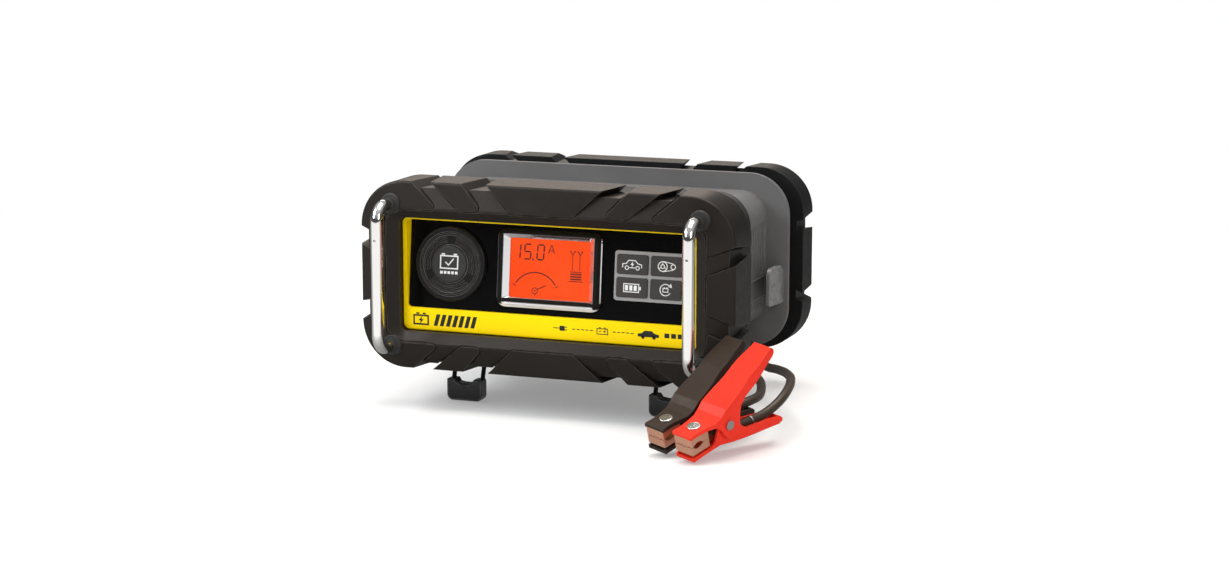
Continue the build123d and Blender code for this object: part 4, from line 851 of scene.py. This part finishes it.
def faint_figures():
    """Gauge numbers and ticks, and small blocks at the battery posts."""
    marks = Marks(PANEL, **LCD_LAYER)
    for figure, x, y in SCALE_FIGURES:
        marks.digit(figure, x, y, **SMALL_FIGURE)
    for degrees in range(40, 146, 10):
        marks.spoke(GAUGE, 16.9, 17.9, degrees, width=0.3)
    for x in POSTS:
        marks.rect(x - 1.5, 0.5, x - 0.4, 1.4)
        marks.rect(x + 0.4, 0.5, x + 1.5, 1.4)
    marks.build("lcd_graphics_faint", "display_segment_faint", "housing", "display_light")


# ------------------------------------------------------------------ printed marks on button, keys
BUTTON_LAYER = dict(low=4.4, high=4.46)
BUTTON_X, BUTTON_Y = -68.5, 1.6
KEY_LAYER = dict(low=1.9, high=1.95)
KEYPAD_X, KEYPAD_Y = 67.0, -0.4  # middle of the four keys
KEY_DX, KEY_DY = 11.3, 7.3       # from there to each key's centre


def button_mark():
    """Battery with a tick in it, over five level bars."""
    marks = Marks(PANEL, **BUTTON_LAYER)
    x, y = BUTTON_X, BUTTON_Y
    marks.outline(x - 6.0, y - 4.4, x + 6.0, y + 3.6, width=0.85)
    for side in (-1, 1):
        marks.rect(x + side * 4.2 - 1.2, y + 4.2, x + side * 4.2 + 1.2, y + 5.2)
    marks.line([(x - 2.6, y - 0.3), (x - 0.5, y - 2.3), (x + 3.1, y + 2.0)], width=0.75)
    marks.row(x - 6.1, y - 8.0, width=1.8, height=1.8, pitch=2.6, count=5)
    marks.build("charge_button_mark", "print_white", "charge_button", "button_plastic")


def car_mark(marks, x, y):
    """Car outline with a bolt."""
    marks.line([(x - 6.4, y - 2.0), (x - 6.4, y + 0.2), (x - 4.0, y + 0.6), (x - 2.4, y + 2.6),
                (x + 2.0, y + 2.6), (x + 3.8, y + 0.6), (x + 6.2, y + 0.1), (x + 6.2, y - 2.0)],
               width=0.55)
    for wheel_x in (x - 3.6, x + 3.6):
        marks.ring(wheel_x, y - 2.1, radius=1.15, width=0.5, sides=16)
    marks.line([(x - 1.9, y - 2.0), (x + 1.9, y - 2.0)], width=0.5)
    marks.poly([(x + 0.5, y + 2.0), (x - 1.3, y - 0.2), (x - 0.1, y - 0.2),
                (x - 0.5, y - 1.7), (x + 1.3, y + 0.5), (x + 0.1, y + 0.5)])


def pulley_mark(marks, x, y):
    """Large spoked wheel and small wheel joined by a belt."""
    wheel = (x - 2.4, y)
    marks.ring(*wheel, radius=3.0, width=0.55, sides=24)
    marks.ring(*wheel, radius=1.2, width=0.5, sides=16)
    marks.ring(x + 4.6, y, radius=1.5, width=0.5, sides=16)
    marks.line([(x - 2.2, y + 3.3), (x + 4.7, y + 1.9)], width=0.45)
    marks.line([(x - 2.2, y - 3.3), (x + 4.7, y - 1.9)], width=0.45)
    for degrees in (90, 210, 330):
        marks.spoke(wheel, 1.4, 2.75, degrees, width=0.45)


def battery_mark(marks, x, y):
    """Battery with three level bars."""
    marks.outline(x - 5.2, y - 2.6, x + 4.8, y + 2.4, width=0.55)
    marks.rect(x + 5.3, y - 1.2, x + 6.2, y + 1.0)
    marks.row(x - 4.3, y - 1.7, width=2.0, height=3.2, pitch=2.9, count=3)


def renew_mark(marks, x, y):
    """Battery inside a turning arrow."""
    marks.arc((x, y), radius=3.6, start=40, end=330, width=0.55, steps=26)
    marks.poly([(x + 1.6, y + 2.1), (x + 4.2, y + 1.5), (x + 3.6, y + 4.2)])
    marks.outline(x - 1.7, y - 1.3, x + 1.7, y + 0.9, width=0.45)
    marks.rect(x - 1.3, y + 1.2, x - 0.5, y + 1.7)
    marks.rect(x + 0.5, y + 1.2, x + 1.3, y + 1.7)


def key_marks():
    for key, draw in zip(KEYS, (car_mark, pulley_mark, battery_mark, renew_mark)):
        marks = Marks(PANEL, **KEY_LAYER)
        x = KEYPAD_X + (KEY_DX if key.endswith("right") else -KEY_DX)
        y = KEYPAD_Y + (KEY_DY if key.startswith("top") else -KEY_DY)
        draw(marks, x, y)
        marks.build("key_mark_" + key, "print_white", "key_" + key, "button_plastic")


# ------------------------------------------------------------------ marks on the yellow band
BAND_LAYER = dict(low=0.0, high=0.06)
BADGE_Z0, BADGE_Z1 = 54.6, 62.4  # lower and upper edge of the badge
STRIP_Z = 59.0                   # centre line of the icon strip
DASHES = dict(width=2.0, height=0.6, pitch=3.0, count=5)


def band_marks():
    marks = Marks(BAND, **BAND_LAYER)
    # Badge at the left: battery block with a bolt, then slanted bars
    low, high = BADGE_Z0, BADGE_Z1
    marks.outline(-93.4, low + 0.5, -83.4, high - 1.6, width=1.1)
    marks.rect(-91.8, high - 0.8, -89.6, high + 0.2)
    marks.rect(-87.2, high - 0.8, -85.0, high + 0.2)
    marks.poly([(-87.5, 60.2), (-90.4, 57.4), (-88.7, 57.4),
                (-89.3, 55.4), (-86.4, 58.3), (-88.0, 58.3)])
    for k in range(7):
        x = -79.6 + 4.3 * k
        marks.poly([(x, low), (x + 2.7, low), (x + 4.9, high - 0.2), (x + 2.2, high - 0.2)])
    z = STRIP_Z
    # Plug with its wire
    marks.rect(8.0, z - 1.6, 11.4, z + 1.6)
    marks.rect(11.4, z + 0.6, 13.2, z + 1.1)
    marks.rect(11.4, z - 1.1, 13.2, z - 0.6)
    marks.line([(3.6, z), (8.0, z)], width=0.5)
    marks.row(16.6, z - 0.3, **DASHES)
    # Battery with minus and plus
    marks.outline(33.4, z - 2.0, 40.6, z + 1.5, width=0.55)
    marks.rect(34.6, z + 1.9, 35.9, z + 2.5)
    marks.rect(38.1, z + 1.9, 39.4, z + 2.5)
    marks.line([(34.5, z - 0.2), (36.3, z - 0.2)], width=0.45)
    marks.line([(37.7, z - 0.2), (39.5, z - 0.2)], width=0.45)
    marks.line([(38.6, z + 0.7), (38.6, z - 1.1)], width=0.45)
    marks.row(44.0, z - 0.3, **DASHES)
    # Car, then three blocks
    marks.poly([(60.8, z - 1.7), (60.8, z + 0.2), (63.4, z + 0.7), (65.4, z + 2.3),
                (70.0, z + 2.3), (72.2, z + 0.6), (75.0, z + 0.1), (75.0, z - 1.7)])
    marks.disc(64.2, z - 1.9, radius=1.15, sides=18)
    marks.disc(71.6, z - 1.9, radius=1.15, sides=18)
    marks.row(78.6, z - 1.5, width=3.2, height=3.0, pitch=4.4, count=3)
    marks.build("band_marks", "print_black", "housing", "yellow_plastic")


display_figures()
faint_figures()
button_mark()
key_marks()
band_marks()

# ------------------------------------------------------------------ clamp frame
CLAMP_LONG = Vector((0.435227, 0.848890, 0.299242)).normalized()
CLAMP_AXIS = Vector((0.899828, -0.420436, -0.115108))  # along the pivot pin
CLAMP_AXIS = (CLAMP_AXIS - CLAMP_LONG * CLAMP_AXIS.dot(CLAMP_LONG)).normalized()
CLAMP_NORMAL = CLAMP_AXIS.cross(CLAMP_LONG)
PIVOT_LONG, PIVOT_NORMAL = 30.0, 2.6  # from the jaw corner to the pivot


def clamp_point(tint, along, normal, across=0.0):
    """A place on a clamp, measured from its jaw corner, which is found from the pivot joint."""
    joint = next(j for j in frame["joints"] if j["name"] == tint + "_clamp_open")
    pivot = Vector(joint["pos_m"]) * 1000.0
    corner = pivot - CLAMP_LONG * PIVOT_LONG - CLAMP_NORMAL * PIVOT_NORMAL
    return corner + CLAMP_LONG * along + CLAMP_NORMAL * normal + CLAMP_AXIS * across


# ------------------------------------------------------------------ leads
CORE_Z0, CORE_Z1 = 47.0, 135.5  # lower and upper face of the core
LEAD_RADIUS = 2.9
LEAD_BEND = 9.0
LEAD_UNDER_Z = CORE_Z0 - LEAD_RADIUS - 0.9  # run beneath the core
LEAD_IN_CLAMP = (  # along, normal, share of the sideways shift
    (24.5, -4.1, 0.0), (33.0, -6.6, 0.0), (44.0, -9.2, 0.0),
    (60.0, -11.9, 0.0), (70.5, -12.9, 0.1), (79.5, -12.4, 1.0))
LEAD_SHIFT = {"red": 0.0, "black": 3.5}
LEAD_RUN = {  # x, y, z from the clamp to beneath the core
    "red": [
        (159.0, -86.0, 28.2), (156.0, -64.0, 30.3), (149.5, -41.0, 30.0), (138.5, -18.0, 28.0),
        (126.0, 2.0, 25.3), (114.0, 19.0, 22.0), (103.0, 31.0, 29.0),
        (91.0, 33.0, LEAD_UNDER_Z), (48.0, 33.0, LEAD_UNDER_Z)],
    "black": [
        (138.6, -72.0, 23.3), (134.6, -55.0, 24.4), (129.0, -39.0, 24.8), (121.3, -23.0, 24.4),
        (109.0, -4.0, 25.5), (98.0, 10.0, 33.0),
        (89.0, 17.0, LEAD_UNDER_Z), (48.0, 17.0, LEAD_UNDER_Z)],
}


def lead(tint):
    points = [clamp_point(tint, along, normal, share * LEAD_SHIFT[tint])
              for along, normal, share in LEAD_IN_CLAMP]
    points += LEAD_RUN[tint]
    path = fillet_path([(point, LEAD_BEND) for point in points], step=1.0)
    path = soften(path, keep_start=40.0, keep_end=30.0, rounds=60)
    sleeve(tint + "_lead", path, LEAD_RADIUS, "lead_jacket", sides=24)


# ------------------------------------------------------------------ mains cord
CORE_WIDTH = 212.8
CORD_RADIUS = 3.1
CORD_GAP = 0.15   # between cord and core
CORD_BEND = 19.3  # at the corners of the core
CORD_TURNS, CORD_FIRST_Y, CORD_PITCH = 3, -26.0, 6.6


def mains_cord():
    """Cord from the left side, wound three times round the core."""
    wrap_x = CORE_WIDTH / 2 + CORD_RADIUS + CORD_GAP
    wrap_z0 = CORE_Z0 - CORD_RADIUS - CORD_GAP
    wrap_z1 = CORE_Z1 + CORD_RADIUS + CORD_GAP
    bends = [((-97.0, -30.0, 78.0), 0), ((-117.5, -30.0, 78.0), 6.0),
             ((-112.5, -28.5, 104.0), 12.0)]
    for turn in range(CORD_TURNS):
        y = CORD_FIRST_Y + CORD_PITCH * turn
        corners = [(-wrap_x, y, wrap_z1), (wrap_x, y, wrap_z1), (wrap_x, y, wrap_z0)]
        if turn:
            corners.insert(0, (-wrap_x, y, wrap_z0))
        bends += [(corner, CORD_BEND) for corner in corners]
    bends += [((-wrap_x, -4.0, wrap_z0), 17.0), ((-wrap_x - 1.5, -1.0, 68.0), 10.0),
              ((-117.0, 4.5, 84.0), 6.0), ((-117.0, 4.5, 92.0), 0)]
    sleeve("mains_cord", fillet_path(bends, step=1.4), CORD_RADIUS, "cord_jacket", sides=18)


# ------------------------------------------------------------------ clamp springs
COIL_RADIUS, COIL_HALF_LENGTH = 3.05, 4.3
COIL_TURNS, COIL_STEPS_PER_TURN = 6.25, 26
COIL_START = math.radians(-70)
COIL_WIRE_RADIUS = 0.58


def spring_coils():
    """A coil on each clamp's pivot, both in one mesh."""
    verts, faces, uvs = [], [], []
    steps = int(COIL_TURNS * COIL_STEPS_PER_TURN)
    for tint in TINTS:
        centre = clamp_point(tint, PIVOT_LONG, PIVOT_NORMAL)
        path = []
        for i in range(steps + 1):
            angle = COIL_START + 2 * math.pi * COIL_TURNS * i / steps
            across = -COIL_HALF_LENGTH + 2 * COIL_HALF_LENGTH * i / steps
            path.append(centre + CLAMP_AXIS * across
                        + CLAMP_LONG * (COIL_RADIUS * math.cos(angle))
                        + CLAMP_NORMAL * (COIL_RADIUS * math.sin(angle)))
        coil = tube_mesh(path, COIL_WIRE_RADIUS, sides=10, rounding=0.3)
        start = len(verts)
        verts += coil[0]
        faces += [tuple(i + start for i in face) for face in coil[1]]
        uvs += coil[2]
    made = make("clamp_spring_coils", (verts, faces, uvs), "spring_steel", "housing",
                smooth=True)
    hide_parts("clamp_springs")


for tint in TINTS:
    lead(tint)
mains_cord()
spring_coils()

# ------------------------------------------------------------------ floor, lights, world (metres)
FLOOR_HALF = 12.0
FLOOR_Z = -0.0004


def floor_material():
    """Pale floor that turns into plain glow away from the object."""
    g = Graph("studio_floor")
    cloud = g.noise(size=90.0)
    base = g.mix(g.ramp(cloud, over=(0.3, 0.7)), (0.90, 0.895, 0.885), (0.93, 0.925, 0.918))
    body = g.bsdf(color=base, rough=0.9, spec=0.1)
    distance = g.node("ShaderNodeVectorMath", {0: g.coords}, operation="LENGTH").outputs["Value"]
    seen = g.node("ShaderNodeLightPath").outputs["Is Camera Ray"]
    depth = g.node("ShaderNodeSeparateXYZ", {0: g.coords}).outputs["Y"]
    # The camera sees full white; other rays see a glow that dims from front to back.
    unseen_glow = g.ramp(depth, over=(-0.30, -0.12), to=(0.95, 0.16))
    strength = g.mix_value(seen, unseen_glow, 1.0)
    glow = g.node("ShaderNodeEmission", {"Color": WHITE, "Strength": strength})
    glossy = g.node("ShaderNodeLightPath").outputs["Is Glossy Ray"]
    # Share of glow: grows with distance, and high in reflections.
    share = g.math("MAXIMUM", g.ramp(distance, over=(0.25, 1.0), to=(0.25, 1.0)),
                   g.multiply(glossy, 0.85))
    return g.end(g.mix_shader(share, body, glow.outputs[0]))


def studio_floor():
    data = bpy.data.meshes.new("studio_floor")
    corners = [(-1, -1), (1, -1), (1, 1), (-1, 1)]
    data.from_pydata([(x * FLOOR_HALF, y * FLOOR_HALF, FLOOR_Z) for x, y in corners],
                     [], [(0, 1, 2, 3)])
    data.materials.append(floor_material())
    floor = bpy.data.objects.new("studio_floor", data)
    scene.collection.objects.link(floor)
    return floor


def softbox(name, at, target, size, watts, color):
    """Square area light, hidden from the camera."""
    data = bpy.data.lights.new(name, "AREA")
    data.energy = watts
    data.color = color
    data.shape = "RECTANGLE"
    data.size = size
    data.size_y = size
    light = bpy.data.objects.new(name, data)
    scene.collection.objects.link(light)
    light.location = at
    light.rotation_mode = "QUATERNION"
    light.rotation_quaternion = (Vector(target) - Vector(at)).to_track_quat("-Z", "Y")
    light.visible_camera = False
    return light


stage = [
    studio_floor(),
    softbox("top_soft", at=(0.1, 0.0, 1.25), target=(0, 0, 0.08), size=0.9, watts=15.0,
            color=(1.0, 0.96, 0.92)),
    softbox("key_left", at=(-0.95, -1.05, 0.9), target=(0, 0, 0.09), size=0.7, watts=7.6,
            color=(0.88, 0.95, 1.0)),
    softbox("near_left", at=(-0.36, -0.25, 0.44), target=(-0.03, 0.04, 0.12), size=0.16,
            watts=1.1, color=(0.94, 0.97, 1.0)),
    softbox("fill_right", at=(1.15, -0.8, 0.7), target=(0, -0.02, 0.09), size=0.6, watts=4.6,
            color=(1.0, 0.96, 0.92)),
    softbox("rim_back", at=(-0.5, 1.2, 0.8), target=(0, 0, 0.1), size=0.7, watts=3.2,
            color=(1.0, 0.86, 0.76)),
]

# Brightness seen in reflections: position (0 straight down, 1 straight up), grey level
SKY_STOPS = ((0.0, 0.5), (0.48, 0.3), (0.52, 0.07), (0.62, 0.06), (0.78, 0.34), (1.0, 0.6))


def studio_world():
    """White to the camera, graded in reflections and dim for diffuse light."""
    g = Graph("studio", "worlds", "ShaderNodeOutputWorld", space="Generated")
    height = g.node("ShaderNodeSeparateXYZ", {0: g.coords}).outputs["Z"]
    sky = g.node("ShaderNodeValToRGB", {0: g.ramp(height, over=(-1.0, 1.0))})
    elements = sky.color_ramp.elements
    while len(elements) < len(SKY_STOPS):
        elements.new(0.5)
    for element, (position, level) in zip(elements, SKY_STOPS):
        element.position = position
        element.color = (level, level, level, 1)
    rays = g.node("ShaderNodeLightPath")
    seen, reflected, diffuse = (
        g.node("ShaderNodeBackground", {"Color": color, "Strength": strength}).outputs[0]
        for color, strength in ((WHITE, 1.0), (sky.outputs[0], 1.0), ((1, 0.99, 0.98), 0.55)))
    lighting = g.mix_shader(rays.outputs["Is Glossy Ray"], diffuse, reflected)
    return g.end(g.mix_shader(rays.outputs["Is Camera Ray"], lighting, seen))


scene.world = studio_world()

# ------------------------------------------------------------------ camera
CAMERA_AT = Vector((0.6322, -1.6304, 0.3842))
CAMERA_RIGHT = Vector((0.9352, 0.3541, 0.0))
CAMERA_BACK = Vector((0.3487, -0.9210, 0.1738))


def camera():
    data = bpy.data.cameras.new("camera")
    data.lens = 78.67
    data.sensor_width = 36.0
    data.sensor_fit = "HORIZONTAL"
    data.clip_start = 0.05
    data.clip_end = 60.0
    made = bpy.data.objects.new("camera", data)
    scene.collection.objects.link(made)
    back = CAMERA_BACK.normalized()
    right = (CAMERA_RIGHT - back * CAMERA_RIGHT.dot(back)).normalized()
    placing = Matrix.Identity(4)
    for column, vector in enumerate((right, back.cross(right), back, CAMERA_AT)):
        for row in range(3):
            placing[row][column] = vector[row]
    made.matrix_world = placing
    return made


scene.camera = camera()

scene.view_settings.view_transform = "Standard"
scene.view_settings.look = "None"
scene.view_settings.exposure = 0.0

bpy.context.view_layer.update()
